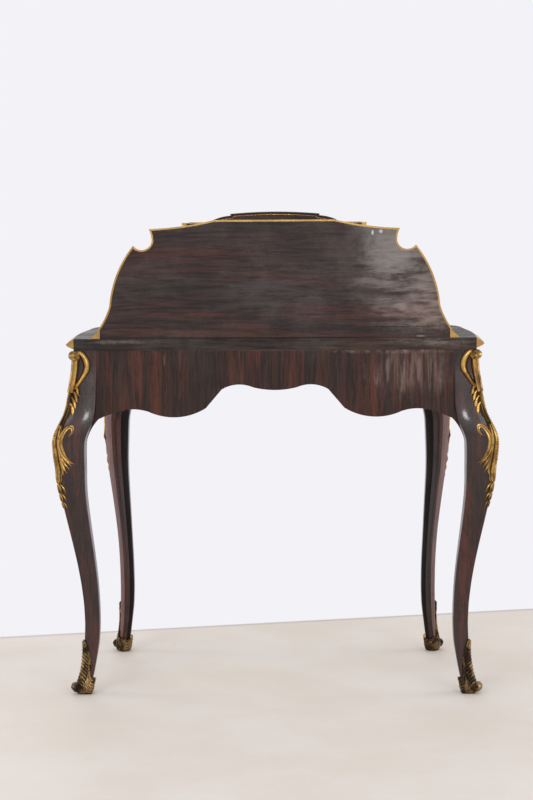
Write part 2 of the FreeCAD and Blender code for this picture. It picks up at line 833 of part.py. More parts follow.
def top_outline(grow, rear):
    points = top_points(grow)
    first = (points[0][0], float(rear))
    last = (points[-1][0], float(rear))
    edge = [spline(points)]
    if abs(points[0][1] - first[1]) > 1e-6:
        edge += [line(points[0], first), line(points[-1], last)]
    return edge + [line(first, last)]


top_blank = pad("tabletop_blank", "XY_Plane", top_outline(0.0, top_rear), top_under, s.writing_height)
leather_blank = pad("leather_blank", "XY_Plane", top_outline(-float(s.leather_margin), top_rear),
                    s.writing_height - s.leather_thickness, s.writing_height)
leather_region = box("leather_region", (-top_middle_half, top_middle_half),
                     (front_edge, stage_front - s.leather_margin / 2),
                     (top_under, s.writing_height + 1.0))
leather = node(common("writing_leather", leather_blank, leather_region), "writing_leather")
node(cut("tabletop", top_blank, leather), "tabletop")

edge_blank = doc.addObject("PartDesign::Body", "edge_moulding_blank")
edge_sections = []
# shares of the edge's height and projection: out from the arris to the nose, and back under it
edge_profile = ((0.03, 0.04), (0.25, 0.56), (0.55, 1.0), (0.72, 0.81), (1.0, 0.06))
for index, (down, grow) in enumerate(edge_profile):
    outline = top_outline(float(s.edge_projection) * grow, top_rear + 3.0)
    height = s.writing_height - s.edge_height * down
    edge_sections.append(sketch_in(edge_blank, "XY_Plane", outline, f"edge_section{index}", height))
edge_loft = edge_blank.newObject("PartDesign::AdditiveLoft", "edge_moulding_loft")
edge_loft.Profile = edge_sections[0]
edge_loft.Sections = edge_sections[1:]
edge_loft.Ruled = True
top_whole = pad("tabletop_whole", "XY_Plane", top_outline(0.0, top_rear + 4.0),
                top_under, s.writing_height)
behind = box("behind_top", (-top_middle_half * 1.2, top_middle_half * 1.2),
             (top_rear, top_rear + 20.0), (top_under, s.writing_height + 1.0))
node(cut("edge_moulding", edge_blank, top_whole, behind), "edge_moulding")


# ---- frieze drawer ----

frieze_board = pad("frieze_board", "XY_Plane", bow_plan(frieze_half_width, frieze_back),
                   s.apron_end, frieze_top)
frieze_outline = apron_profile(frieze_half_width, float(s.frieze_lift), float(s.apron_end + s.frieze_lift),
                               frieze_top)
frieze_face = pad("frieze_face", "XZ_Plane", frieze_outline, front_edge, frieze_back)
keyhole_z = frieze_top - s.lock_height / 2 - s.lock_margin
keyhole_radius = s.key_radius + s.key_gap
key_hole = rod("frieze_keyhole", keyhole_radius, s.desk_depth,
               (0.0, float(frieze_back) + 1.0, float(keyhole_z)), (0, -1, 0))
frieze_shaped = common("frieze_front_shaped", frieze_board, frieze_face)
frieze_front_board = node(cut("frieze_drawer_front", frieze_shaped, key_hole), "frieze_drawer_front")
box_floor = s.frieze_box_floor
box_top = box_floor + s.frieze_side_height
box_rear = frieze_back + s.frieze_box_depth
side_in = frieze_box_half - s.drawer_side
floor_low = box_floor + s.drawer_floor_lift
floor_high = floor_low + s.drawer_floor
frieze_side = node(box("frieze_side_board", (side_in, frieze_box_half), (frieze_back, box_rear),
                       (box_floor, box_top)), "frieze_drawer_side_right")
node(mirrored("frieze_side_mirror", frieze_side), "frieze_drawer_side_left")
node(box("frieze_back_board", (-side_in, side_in), (box_rear - s.drawer_side, box_rear),
         (floor_high, box_top)), "frieze_drawer_back")
node(box("frieze_floor_board", (-side_in, side_in), (frieze_back, box_rear),
         (floor_low, floor_high)), "frieze_drawer_bottom")


# ---- cabinet: back panel, fillet, walls and boards ----

waist_height = plinth_top + s.flank_waist_rise
notch_tip_height = bank_top + s.notch_over_bank


def flank(x_shift):
    """The swelling side of the cabinet from its foot up to the notch, moved by x_shift."""
    foot = (float(plinth_half) + x_shift, float(plinth_top))
    waist = (float(flank_waist_half) + x_shift, float(waist_height))
    belly = (float(flank_belly_half) + x_shift, float(plinth_top + s.flank_belly_rise))
    tip = (float(notch_tip_half) + x_shift, float(notch_tip_height))
    bend = (waist[0] + (foot[0] - waist[0]) * 0.4, plinth_top.value + (waist[1] - foot[1]) * 0.49)
    return (foot, bend, waist), (waist, belly, tip)


def panel_outline():
    """Half of the back panel's outline, foot to crest, mirrored about the middle."""
    (foot, bend, waist), (_, belly, tip) = flank(0.0)
    base = (foot[0], float(s.writing_height))
    low = (float(notch_low_half), float(notch_tip_height - s.notch_low_drop))
    inner = (float(notch_back_half), float(notch_tip_height + s.notch_back_rise))
    shoulder = (float(shoulder_half), float(cabinet_top - s.shoulder_drop))
    hollow = (inner[0] + (shoulder[0] - inner[0]) / 6, (inner[1] + shoulder[1]) / 2)
    swell = (float(crest_mid_half), float(cabinet_top - s.crest_mid_drop))
    crest = (float(crest_half), float(cabinet_top + s.crest_rise))
    half = [("line", base, foot), ("arc", foot, bend, waist), ("arc", waist, belly, tip),
            ("arc", tip, low, inner), ("arc", inner, hollow, shoulder), ("arc", shoulder, swell, crest)]
    return half, base, crest


def outline_edges():
    half, base, crest = panel_outline()
    edges = []
    for side in (1, -1):
        for kind, *points in half:
            points = [(side * x, z) for x, z in points]
            edges.append(line(*points) if kind == "line" else arc(*points))
    edges.append(line(crest, (-crest[0], crest[1])))
    edges.append(line((-base[0], base[1]), base))
    return edges


panel_blank = pad("panel_blank", "XZ_Plane", outline_edges(), panel_front, s.rear_face)
doc.recompute()

# the brass fillet is a strip bent round the panel's edge, and the panel is what it encloses
outline_wire = Part.Wire(Part.__sortEdges__([piece.toShape() for piece in outline_edges()]))
inner_wire = outline_wire.makeOffset2D(-float(s.fillet_width), 2)
panel_core = doc.addObject("Part::Feature", "panel_core")
core_face = Part.Face(inner_wire)
core_face.rotate(V(0, 0, 0), V(1, 0, 0), 90)
core_face.translate(V(0, float(s.rear_face), 0))
core = core_face.extrude(V(0, -float(s.panel_thickness), 0))
strip_half = float(plinth_half - s.fillet_width)
floor_strip = Part.makeBox(2 * strip_half, float(s.panel_thickness), 2 * float(s.fillet_width),
                           V(-strip_half, float(panel_front), float(s.writing_height)))
panel_core.Shape = core.fuse(floor_strip).removeSplitter()
back_panel = node(panel_core, "back_panel")
node(cut("panel_fillet", panel_blank, back_panel), "panel_fillet")

plinth_side = plinth_half - s.wall_inset
node(box("plinth_board", (-plinth_side, plinth_side), (stage_front, panel_front),
         (s.writing_height, plinth_top)), "plinth")


def flank_strip(outer_shift, inner_shift, name):
    """A board that follows the flank, between two copies of its curve."""
    outer_low, outer_high = flank(outer_shift)
    inner_low, inner_high = flank(inner_shift)
    edges = [arc(*outer_low), arc(*outer_high), line(outer_high[2], inner_high[2]),
             arc(*inner_high), arc(*inner_low), line(inner_low[0], outer_low[0])]
    return pad(name, "XZ_Plane", edges, stage_front, panel_front)


wall_out, wall_in = -float(s.wall_inset), -float(s.wall_inset + s.wall_thickness)
wall_strip = flank_strip(wall_out, wall_in, "side_wall_strip")
over_bank = box("over_bank", (0.0, top_middle_half), (front_edge, s.rear_face),
                (bank_height, bank_height * 2))
wall_right = node(cut("side_wall", wall_strip, over_bank), "side_wall_right")
node(mirrored("side_wall_mirror", wall_right), "side_wall_left")


def flank_fill(shift, name, low, high, y_front, y_back, x_in):
    """What lies between a straight inner plane and the flank's curve moved by shift."""
    lower, upper = flank(shift)
    x_in = float(x_in)
    edges = [arc(*lower), arc(*upper), line(upper[2], (x_in, upper[2][1])),
             line((x_in, upper[2][1]), (x_in, lower[0][1])), line((x_in, lower[0][1]), lower[0])]
    fill = pad(name, "XZ_Plane", edges, y_front, y_back)
    band = box(name + "_band", (0.0, top_middle_half), (front_edge, s.rear_face), (low, high))
    return common(name + "_shaped", fill, band)


bank_lid = node(flank_fill(wall_out, "bank_top_board", bank_height, bank_top,
                           stage_front, panel_front, partition_out), "bank_top_right")
node(mirrored("bank_top_mirror", bank_lid), "bank_top_left")
divider_low = (plinth_top + bank_height - s.divider_thickness) / 2
divider_high = divider_low + s.divider_thickness
divider = flank_fill(wall_in, "divider_board", divider_low, divider_high,
                     stage_front, panel_front, partition_out)
node(group("drawer_divider_pair", divider, mirrored("drawer_divider_mirror", divider)), "drawer_dividers")

lock_z = shelf_height
door_back = stage_front + s.door_thickness
bolt_mid_y = door_back + s.lock_depth / 2
partition_board = box("partition_board", (s.cupboard_half, partition_out), (stage_front, panel_front),
                      (plinth_top, cupboard_height))
door_mortise = box("door_mortise",
                   (s.cupboard_half - 1.0, s.cupboard_half + s.bolt_throw + s.mortise_gap),
                   (bolt_mid_y - mortise_depth, bolt_mid_y + mortise_depth),
                   (lock_z - mortise_half, lock_z + mortise_half))
node(cut("partition_right", partition_board, door_mortise), "partition_right")
node(mirrored("partition_mirror", partition_board), "partition_left")
node(box("cupboard_lid", (-partition_out, partition_out), (stage_front, panel_front),
         (cupboard_height, cabinet_top)), "cupboard_top")
shelf_half = s.divider_thickness / 2
node(box("shelf_board", (-s.cupboard_half, s.cupboard_half), (stage_front + s.shelf_setback, panel_front),
         (shelf_height - shelf_half, shelf_height + shelf_half)), "cupboard_shelf")


def moulded_ring(name, half, front, back, levels):
    """A mitred moulding round the front and two sides of a box, from levels of (height, projection)."""
    body = doc.addObject("PartDesign::Body", name + "_blank")
    sections = []
    for index, (height, out) in enumerate(levels):
        reach, face = float(half) + out, float(front) - out
        corners = [(-reach, float(back)), (-reach, face), (reach, face), (reach, float(back))]
        sections.append(sketch_in(body, "XY_Plane", polygon(corners), f"{name}_section{index}", height))
    loft = body.newObject("PartDesign::AdditiveLoft", name + "_loft")
    loft.Profile = sections[0]
    loft.Sections = sections[1:]
    loft.Ruled = True
    core = box(name + "_core", (-as_length(half), half), (front, as_length(back) + 1.0),
               (as_length(levels[0][0]) - 1.0, as_length(levels[-1][0]) + 1.0))
    return cut(name, body, core)


def cove_levels(foot, height, width, steps):
    """A hollow quarter from a wide foot, with a flat edge, up to a thin lip."""
    lip, flat = 1.0, 0.12
    levels = [(foot, float(width))]
    for step in range(steps + 1):
        angle = math.pi / 2 * step / steps
        rise = flat + (1 - flat) * math.sin(angle)
        hollow = (1 - math.sin(angle)) * max(0.0, math.cos(angle)) ** 0.5
        levels.append((foot + height * rise, lip + (float(width) - lip) * hollow))
    return levels


cove = moulded_ring("cove", plinth_side, stage_front, s.rear_face,
                    cove_levels(s.writing_height, s.plinth_height - 0.5, s.cove_width, 4))
node(cut("cove_trimmed", cove, panel_blank), "cove_moulding")
cornice_foot = cabinet_top - s.cornice_height
nose = s.cornice_projection.value
cornice_levels = [(cornice_foot, nose * 0.16), (cornice_foot + s.cornice_height * 0.45, nose * 0.55),
                  (cornice_foot + s.cornice_height * 0.6, nose), (cabinet_top + 2.0, nose)]
node(moulded_ring("cornice", partition_out, stage_front, panel_front, cornice_levels), "cornice")

# the pediment stands on the cabinet's front edge
wing, step = s.pediment_half.value, s.pediment_step_half.value
foot_z, rise = cabinet_top.value, s.pediment_rise.value
top_z = foot_z + rise
# the arch's spring, the step below it, and the wing's middle and end
spring_z, step_z, middle_z, wing_z = (foot_z + rise * share for share in (0.82, 0.66, 0.55, 0.3))
pediment_edges = [arc((-step, spring_z), (0, top_z), (step, spring_z)), line((wing, foot_z), (-wing, foot_z))]
for side in (1, -1):
    pediment_edges.append(line((side * step, spring_z), (side * step, step_z)))
    pediment_edges.append(arc((side * step, step_z), (side * (step + wing) / 2, middle_z), (side * wing, wing_z)))
    pediment_edges.append(line((side * wing, wing_z), (side * wing, foot_z)))
pediment_front = stage_front + s.pediment_setback
node(pad("pediment", "XZ_Plane", pediment_edges, pediment_front, pediment_front + s.pediment_thickness),
     "pediment")


# ---- small drawers ----

def small_drawer(name, low, high):
    """Front, sides, back and floor of one small drawer of the right bank, as separate solids."""
    gap = s.small_gap
    front_low, front_high = low + gap, high - gap
    front_in = partition_out + gap
    face = flank_fill(wall_in - gap.value, name + "_front", front_low, front_high,
                      stage_front, stage_front + s.small_front_thickness, front_in)
    # the box is as wide as the flank leaves at the drawer's top
    _, upper = flank(wall_in - gap.value)
    curve = Part.Arc(*(V(x, z, 0) for x, z in upper)).toShape()
    level = max(front_high.value, waist_height.value)
    across = Part.makeLine(V(0, level, 0), V(top_middle_half.value, level, 0))
    reach = curve.distToShape(across)[1][0][0].x
    box_out = as_length(reach - s.small_side_drop.value)
    box_front = stage_front + s.small_front_thickness
    box_back = box_front + s.small_box_depth
    top = front_high - s.small_side_drop
    inner_side = box(name + "_inner_side", (front_in, front_in + s.small_side), (box_front, box_back),
                     (front_low, top))
    outer_side = box(name + "_outer_side", (box_out - s.small_side, box_out), (box_front, box_back),
                     (front_low, top))
    span = (front_in + s.small_side, box_out - s.small_side)
    floor = box(name + "_floor", span, (box_front, box_back), (front_low, front_low + s.small_floor))
    back = box(name + "_back", span, (box_back - s.small_side, box_back),
               (front_low + s.small_floor, top))
    return group(name, face, inner_side, outer_side, floor, back)


def knob(name, x, z):
    """A turned knob on its rose, standing on the face of a small drawer."""
    radius, reach = s.knob_radius.value, s.knob_reach.value
    body = doc.addObject("PartDesign::Body", name)
    rose, neck, bevel = radius * 1.15, radius * 0.42, radius * 0.6
    # half of the turned outline, from the rose on the wood out to the knob's flat end
    turning = [(0, 0), (rose, 0), (rose, radius * 0.2), (neck, radius * 0.4), (neck, reach - 2 * bevel - 3.0),
               (radius, reach - bevel - 3.0), (radius, reach - bevel), (bevel, reach), (0, reach)]
    profile = polygon(turning)
    sketch = sketch_in(body, "XY_Plane", profile, name + "_profile")
    turned = body.newObject("PartDesign::Revolution", name + "_turned")
    turned.Profile = sketch
    turned.ReferenceAxis = (sketch, ["V_Axis"])
    turned.Angle = 360
    body.Placement = FreeCAD.Placement(V(x, stage_front.value, z), FreeCAD.Rotation(V(0, 1, 0), V(0, -1, 0)))
    return body


for level, low, high, reach in (("lower", plinth_top, divider_low, flank_waist_half),
                                ("upper", divider_high, bank_height, flank_belly_half)):
    drawer = node(small_drawer(f"{level}_drawer", low, high), f"{level}_drawer_right")
    node(mirrored(f"{level}_drawer_mirror", drawer), f"{level}_drawer_left")
    knob_x = (partition_out.value + reach.value + wall_in) / 2
    pull = node(knob(f"{level}_knob", knob_x, (low.value + high.value) / 2), f"{level}_knob_right")
    node(mirrored(f"{level}_knob_mirror", pull), f"{level}_knob_left")


# ---- cupboard door and its hinges ----

door_half = s.cupboard_half - s.door_gap
door_low, door_high = plinth_top + s.door_gap, cupboard_height - s.door_gap
door_blank = box("door_board", (-door_half, door_half), (stage_front, door_back), (door_low, door_high))
field_half = door_half - s.door_field_margin
field_low, field_high = door_low + s.door_field_margin, door_high - s.door_field_margin
scoop = s.door_field_scoop.value
wide, foot, head = field_half.value, field_low.value, field_high.value
inward = scoop * math.sqrt(0.5)
field = []
for side_x in (1, -1):
    corner_x = side_x * wide
    for side_z, edge_z in ((1, head), (-1, foot)):
        field.append(arc((corner_x, edge_z - side_z * scoop),
                         (corner_x - side_x * inward, edge_z - side_z * inward),
                         (corner_x - side_x * scoop, edge_z)))
    field.append(line((corner_x, foot + scoop), (corner_x, head - scoop)))
for edge_z in (foot, head):
    field.append(line((scoop - wide, edge_z), (wide - scoop, edge_z)))
field_body = pad("door_field", "XZ_Plane", field, stage_front - 1.0, stage_front + s.door_field_depth)
door_keyhole_x = door_half - s.lock_width / 2 - s.lock_margin
door_keyhole = rod("door_keyhole", keyhole_radius, s.stage_depth,
                   (door_keyhole_x.value, door_back.value + 1.0, lock_z.value), (0, -1, 0))
door_panel = node(cut("door_leaf", door_blank, field_body, door_keyhole), "cupboard_door")

hinge_x = -s.cupboard_half
hinge_y = stage_front - s.hinge_radius - 0.3
fixed_leaves, moving_leaves = [], []
half_barrel = s.hinge_height / 2
end_gap = s.case_gap / 2
leaf_y = (stage_front - s.leaf_thickness, stage_front)


def hinge_rod(name, radius, length, height):
    return rod(name, radius, length, (hinge_x.value, hinge_y.value, height.value), (0, 0, 1))


for index, foot in enumerate((door_low + s.hinge_margin, door_high - s.hinge_margin - s.hinge_height)):
    middle = foot + half_barrel
    lower, upper = (foot, middle - end_gap), (middle + end_gap, foot + s.hinge_height)
    barrel = hinge_rod(f"hinge{index}_barrel", s.hinge_radius, half_barrel - end_gap, foot)
    pin = hinge_rod(f"hinge{index}_pin", s.hinge_pin, s.hinge_height, foot)
    wing = box(f"hinge{index}_wing", (hinge_x - s.leaf_width, hinge_x - s.leaf_thickness / 2), leaf_y, lower)
    bridge = box(f"hinge{index}_bridge", (hinge_x - s.leaf_thickness * 1.5, hinge_x - s.leaf_thickness / 2),
                 (hinge_y, stage_front), lower)
    fixed_leaves.append(fuse(f"hinge{index}_fixed", barrel, pin, wing, bridge))
    knuckle = hinge_rod(f"hinge{index}_knuckle", s.hinge_radius, half_barrel - end_gap, upper[0])
    bore = hinge_rod(f"hinge{index}_bore", s.hinge_pin + s.pin_gap, s.hinge_height, middle - 1.0)
    door_wing = box(f"hinge{index}_door_wing", (hinge_x + s.door_gap, hinge_x + s.leaf_width), leaf_y, upper)
    bridge_x = (hinge_x + s.door_gap, hinge_x + s.door_gap + s.leaf_thickness)
    door_bridge = box(f"hinge{index}_door_bridge", bridge_x, (hinge_y, stage_front), upper)
    blank = fuse(f"hinge{index}_moving_blank", knuckle, door_wing, door_bridge)
    moving_leaves.append(cut(f"hinge{index}_moving", blank, bore))
node(group("hinge_fixed_pair", *fixed_leaves), "hinge_fixed_leaves")
node(group("hinge_door_pair", *moving_leaves), "hinge_door_leaves")


# ---- locks: case, bolt, key and escutcheon ----

def escutcheon(name, x, y, z, seat):
    """A shield of thin brass round a keyhole, its back cut to the wood it sits on."""
    wide, tall = s.escutcheon_half_width.value, s.escutcheon_half_height.value
    outline = []
    for side in (1, -1):
        outline.append(arc((0, tall), (side * wide * 0.75, tall * 0.62), (side * wide, 0)))
        outline.append(arc((side * wide, 0), (side * wide * 0.6, -tall * 0.62), (0, -tall)))
    sunk = s.escutcheon_sink.value
    body = doc.addObject("PartDesign::Body", name + "_blank")
    sketch = sketch_in(body, "XZ_Plane", outline, name + "_outline")
    plate = body.newObject("PartDesign::Pad", name + "_pad")
    plate.Profile = sketch
    plate.setExpression("Length", (s.plate_thickness + s.escutcheon_sink).text)
    body.Placement = FreeCAD.Placement(V(x, y + sunk, z), FreeCAD.Rotation())
    hole = rod(name + "_hole", keyhole_radius, s.key_reach, (x, y + sunk + 1.0, z), (0, -1, 0))
    return cut(name, body, seat, hole)


def key(name, x, y, z, reach_in):
    """Stem, collar, bow and bit: the stem runs from the bow through the lock."""
    bow_radius, bow_thick = s.key_bow_radius, s.key_bow_thickness.value
    reach_in = float(reach_in)
    stem = rod(name + "_stem", s.key_radius, s.key_reach - bow_radius + reach_in,
               (x, y + reach_in, z), (0, -1, 0))
    collar = rod(name + "_collar", s.key_radius * 1.6, s.key_radius, (x, y - 4.0, z), (0, -1, 0))
    bow_y = y - s.key_reach.value + 1.0
    bow = rod(name + "_bow", bow_radius, bow_thick, (x - bow_thick / 2, bow_y, z), (1, 0, 0))
    thick, deep = s.key_radius.value * 0.7, (s.lock_depth - s.lock_plate).value - 3.0
    bit = doc.addObject("Part::Box", name + "_bit")
    bit.Length, bit.Width, bit.Height = thick, deep, s.key_bit.value - s.key_radius.value / 2
    corner = V(x - thick / 2, y + reach_in - deep - 1.0, z - s.key_bit.value)
    bit.Placement = FreeCAD.Placement(corner, FreeCAD.Rotation())
    return fuse(name, stem, collar, bow, bit)


def lock_case(name, x, y, z, key_hole, bolt_hole):
    """The case's hollow clears the key's bit at every angle, and its slot clears the bolt."""
    return cut(name, box(name + "_body", x, y, z), key_hole, bolt_hole)


mid_z = keyhole_z
bit_room = s.key_bit + s.case_gap
bolt_foot = bit_room + s.case_gap
slot_foot = s.key_bit - s.case_gap            # the bolt's slot opens into the room of the bit
bolt_half, bolt_deep = s.bolt_width / 2, s.bolt_thickness / 2
slot_half, slot_deep = bolt_half + s.case_gap, bolt_deep + s.case_gap
stem_in = s.lock_depth - s.lock_plate - s.key_gap

frieze_case_top = frieze_top - s.reveal
frieze_bit_room = rod("frieze_bit_room", bit_room, s.lock_depth - s.lock_plate + 1.0,
                      (0.0, frieze_back.value - 1.0, mid_z.value), (0, 1, 0))
frieze_bolt_room = box("frieze_bolt_room", (-slot_half, slot_half), (bolt_y - slot_deep, bolt_y + slot_deep),
                       (mid_z + slot_foot, frieze_top + 1.0))
node(lock_case("frieze_lock", (-(s.lock_width / 2), s.lock_width / 2), (frieze_back, frieze_back + s.lock_depth),
               (mid_z - s.lock_height / 2, frieze_case_top), frieze_bit_room, frieze_bolt_room),
     "frieze_lock_case")
node(box("frieze_bolt", (-bolt_half, bolt_half), (bolt_y - bolt_deep, bolt_y + bolt_deep),
         (mid_z + bolt_foot, frieze_case_top)), "frieze_lock_bolt")
node(escutcheon("frieze_escutcheon", 0.0, frieze_front.value, mid_z.value, frieze_front_board),
     "frieze_escutcheon")
node(key("frieze_key", 0.0, frieze_front.value, mid_z.value, frieze_back - frieze_front + stem_in),
     "frieze_key")

door_x = door_keyhole_x
door_case_edge = door_half - s.case_gap
door_bit_room = rod("door_bit_room", bit_room, s.lock_depth - s.lock_plate + 1.0,
                    (door_x.value, door_back.value - 1.0, lock_z.value), (0, 1, 0))
door_bolt_room = box("door_bolt_room", (door_x + slot_foot, door_half + 1.0),
                     (bolt_mid_y - slot_deep, bolt_mid_y + slot_deep), (lock_z - slot_half, lock_z + slot_half))
node(lock_case("door_lock", (door_x - s.lock_width / 2, door_half), (door_back, door_back + s.lock_depth),
               (lock_z - s.lock_height / 2, lock_z + s.lock_height / 2), door_bit_room, door_bolt_room),
     "door_lock_case")
node(box("door_bolt", (door_x + bolt_foot, door_case_edge),
         (bolt_mid_y - bolt_deep, bolt_mid_y + bolt_deep), (lock_z - bolt_half, lock_z + bolt_half)),
     "door_lock_bolt")
node(escutcheon("door_escutcheon", door_x.value, stage_front.value, lock_z.value, door_panel),
     "door_escutcheon")
node(key("door_key", door_x.value, stage_front.value, lock_z.value, s.door_thickness + stem_in), "door_key")


# ---- bail handles of the frieze drawer ----

def handle_place(side):
    """Where a handle sits on the bowed face, right (1) or left (-1), and the way it faces."""
    half, bow, x = frieze_half_width.value, s.frieze_bow.value, s.handle_offset.value
    radius = (half ** 2 + bow ** 2) / (2 * bow)
    angle = math.asin(x / radius)
    y = frieze_front.value + radius * (1 - math.cos(angle))
    turn = FreeCAD.Rotation(V(0, 0, 1), side * math.degrees(angle))
    return FreeCAD.Placement(V(side * x, y, s.handle_height.value), turn)


def placed(thing, side, local):
    thing.Placement = handle_place(side).multiply(local)
    return thing


def handle_plate(name, side):
    """A flat plate with two posts, each bored for a pin of the bail."""
    span, stand = s.handle_half_span.value, s.handle_stand.value
    wide, tall = s.plate_half_width.value, s.plate_half_height.value
    lobe, waist = (span * 0.8, tall), (span * 0.4, tall * 0.5)
    body = doc.addObject("PartDesign::Body", name + "_plate")
    outline = []
    for up in (1, -1):
        outline.append(arc((-waist[0], up * waist[1]), (0, up * tall), (waist[0], up * waist[1])))
        for out in (1, -1):
            outline.append(arc((out * waist[0], up * waist[1]), (out * lobe[0], up * lobe[1]), (out * wide, 0)))
    sketch = sketch_in(body, "XZ_Plane", outline, name + "_outline")
    plate = body.newObject("PartDesign::Pad", name + "_pad")
    plate.Profile = sketch
    plate.setExpression("Length", (s.plate_thickness + s.escutcheon_sink).text)
    placed(body, side, FreeCAD.Placement(V(0, s.escutcheon_sink.value, 0), FreeCAD.Rotation()))
    forward = FreeCAD.Rotation(V(0, 0, 1), V(0, -1, 0))
    sideways = FreeCAD.Rotation(V(0, 0, 1), V(1, 0, 0))
    pieces = [body]
    for out in (1, -1):
        post = rod(f"{name}_post{out}", s.handle_post, s.handle_stand + s.handle_post, (0, 0, 0), (0, 0, 1))
        pieces.append(placed(post, side, FreeCAD.Placement(V(out * span, 0, 0), forward)))
    bore = rod(f"{name}_bore", s.bail_pin + s.pin_gap, 4 * s.handle_half_span, (0, 0, 0), (0, 0, 1))
    placed(bore, side, FreeCAD.Placement(V(-2 * span, -stand, 0), sideways))
    return cut(name, fuse(name + "_whole", *pieces), frieze_front_board, bore)


def bail(name, side):
    """The hanging loop: a pin at each end, a short arm, and one swept curve between them."""
    span, drop = s.handle_half_span.value, s.handle_drop.value
    radius, pin = s.bail_radius.value, s.bail_pin.value
    arm = span - s.handle_post.value - s.case_gap.value - radius
    bend = drop * 0.65
    corner, diagonal = drop - bend, bend * math.sqrt(0.5)

    def bent(way):
        return Part.Arc(V(way * arm, 0, -corner), V(way * (arm - bend + diagonal), 0, -corner - diagonal),
                        V(way * (arm - bend), 0, -drop)).toShape()

    path = [Part.makeLine(V(-arm, 0, radius), V(-arm, 0, -corner)), bent(-1),
            Part.makeLine(V(bend - arm, 0, -drop), V(arm - bend, 0, -drop)), bent(1),
            Part.makeLine(V(arm, 0, -corner), V(arm, 0, radius))]
    section = Part.Wire(Part.Circle(V(-arm, 0, radius), V(0, 0, 1), radius).toShape())
    loop = Part.Wire(path).makePipeShell([section], True, True)
    outer = span + s.handle_post.value + 1.0
    for way in (1, -1):
        loop = loop.fuse(Part.makeCylinder(pin, outer - arm, V(way * arm, 0, 0), V(way, 0, 0)))
    feature = doc.addObject("Part::Feature", name)
    feature.Shape = loop
    return placed(feature, side, FreeCAD.Placement(V(0, -s.handle_stand.value, 0), FreeCAD.Rotation()))


plates = [handle_plate(f"handle_plate_{word}", side) for word, side in (("right", 1), ("left", -1))]
node(group("handle_plate_pair", *plates), "handle_plates")
node(bail("right_bail", 1), "handle_bail_right")
node(bail("left_bail", -1), "handle_bail_left")


# ---- check and write ----

doc.recompute()
for thing in doc.Objects:
    if "Invalid" in thing.State or "Error" in thing.State:
        raise RuntimeError(f"{thing.Label} failed to compute")
for thing in nodes:
    if thing.Shape.isNull() or not thing.Shape.isValid():
        raise RuntimeError(f"{thing.Label} has no valid shape")

os.makedirs("parts", exist_ok=True)
for thing in nodes:
    thing.Shape.exportStep(f"parts/{thing.Label}.step")
print(len(nodes), "sub-parts written")
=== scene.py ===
import math

import bmesh
import bpy
import numpy as np
from mathutils import Matrix, Vector


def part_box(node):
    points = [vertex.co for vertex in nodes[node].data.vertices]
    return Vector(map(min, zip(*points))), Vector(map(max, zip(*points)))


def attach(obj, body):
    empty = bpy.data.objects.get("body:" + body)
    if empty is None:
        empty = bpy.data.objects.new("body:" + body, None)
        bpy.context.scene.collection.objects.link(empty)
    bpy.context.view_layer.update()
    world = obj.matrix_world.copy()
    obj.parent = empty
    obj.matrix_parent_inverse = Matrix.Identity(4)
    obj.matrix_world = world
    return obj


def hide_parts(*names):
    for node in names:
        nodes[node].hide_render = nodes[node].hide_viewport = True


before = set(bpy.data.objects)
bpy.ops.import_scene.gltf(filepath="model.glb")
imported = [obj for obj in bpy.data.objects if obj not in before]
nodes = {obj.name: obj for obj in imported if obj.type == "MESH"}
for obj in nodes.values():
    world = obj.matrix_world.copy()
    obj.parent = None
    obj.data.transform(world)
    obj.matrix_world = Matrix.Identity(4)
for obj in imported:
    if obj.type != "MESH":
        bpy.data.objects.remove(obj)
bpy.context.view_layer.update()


# shader tools: a tree is written as calls that return sockets

class Shader:
    def __init__(self, tree):
        self.tree = tree
        self.column = 0

    def put(self, kind, inputs=None, **settings):
        node = self.tree.nodes.new(kind)
        self.column += 1
        node.location = (180 * self.column, -60 * (self.column % 5))
        for key, value in settings.items():
            setattr(node, key, value)
        for key, value in (inputs or {}).items():
            self.give(node.inputs[key], value)
        return node

    def give(self, socket, value):
        if isinstance(value, bpy.types.NodeSocket):
            self.tree.links.new(value, socket)
        else:
            socket.default_value = value

    def math(self, operation, a, b=0.0, clamp=False):
        return self.put("ShaderNodeMath", {0: a, 1: b}, operation=operation, use_clamp=clamp).outputs[0]

    def range(self, value, low, high, to=(0.0, 1.0), smooth=True):
        kind = "SMOOTHSTEP" if smooth else "LINEAR"
        given = {"Value": value, "From Min": low, "From Max": high, "To Min": to[0], "To Max": to[1]}
        return self.put("ShaderNodeMapRange", given, interpolation_type=kind).outputs["Result"]

    def mix(self, share, a, b, blend="MIX"):
        node = self.put("ShaderNodeMix", data_type="RGBA", blend_type=blend)
        for socket, value in ((node.inputs[0], share), (node.inputs[6], a), (node.inputs[7], b)):
            self.give(socket, value)
        return node.outputs[2]

    def noise(self, vector, scale, detail=4.0, roughness=0.55, distortion=0.0):
        given = {"Vector": vector, "Scale": scale, "Detail": detail, "Roughness": roughness, "Distortion": distortion}
        return self.put("ShaderNodeTexNoise", given).outputs["Fac"]

    def stretched(self, vector, scale):
        return self.put("ShaderNodeMapping", {"Vector": vector, "Scale": scale}).outputs["Vector"]


def colour(red, green, blue):
    # sRGB bytes to the linear values that sockets hold
    linear = [(c / 255) / 12.92 if c <= 10 else ((c / 255 + 0.055) / 1.055) ** 2.4 for c in (red, green, blue)]
    return (*linear, 1.0)


def newGroup(name, inputs, outputs):
    tree = bpy.data.node_groups.new(name, "ShaderNodeTree")
    kinds = {"f": "NodeSocketFloat", "c": "NodeSocketColor", "v": "NodeSocketVector"}
    for label, kind, value in inputs:
        socket = tree.interface.new_socket(label, in_out="INPUT", socket_type=kinds[kind])
        if value is not None:
            socket.default_value = value
    for label, kind in outputs:
        tree.interface.new_socket(label, in_out="OUTPUT", socket_type=kinds[kind])
    shader = Shader(tree)
    return shader, shader.put("NodeGroupInput").outputs, shader.put("NodeGroupOutput").inputs


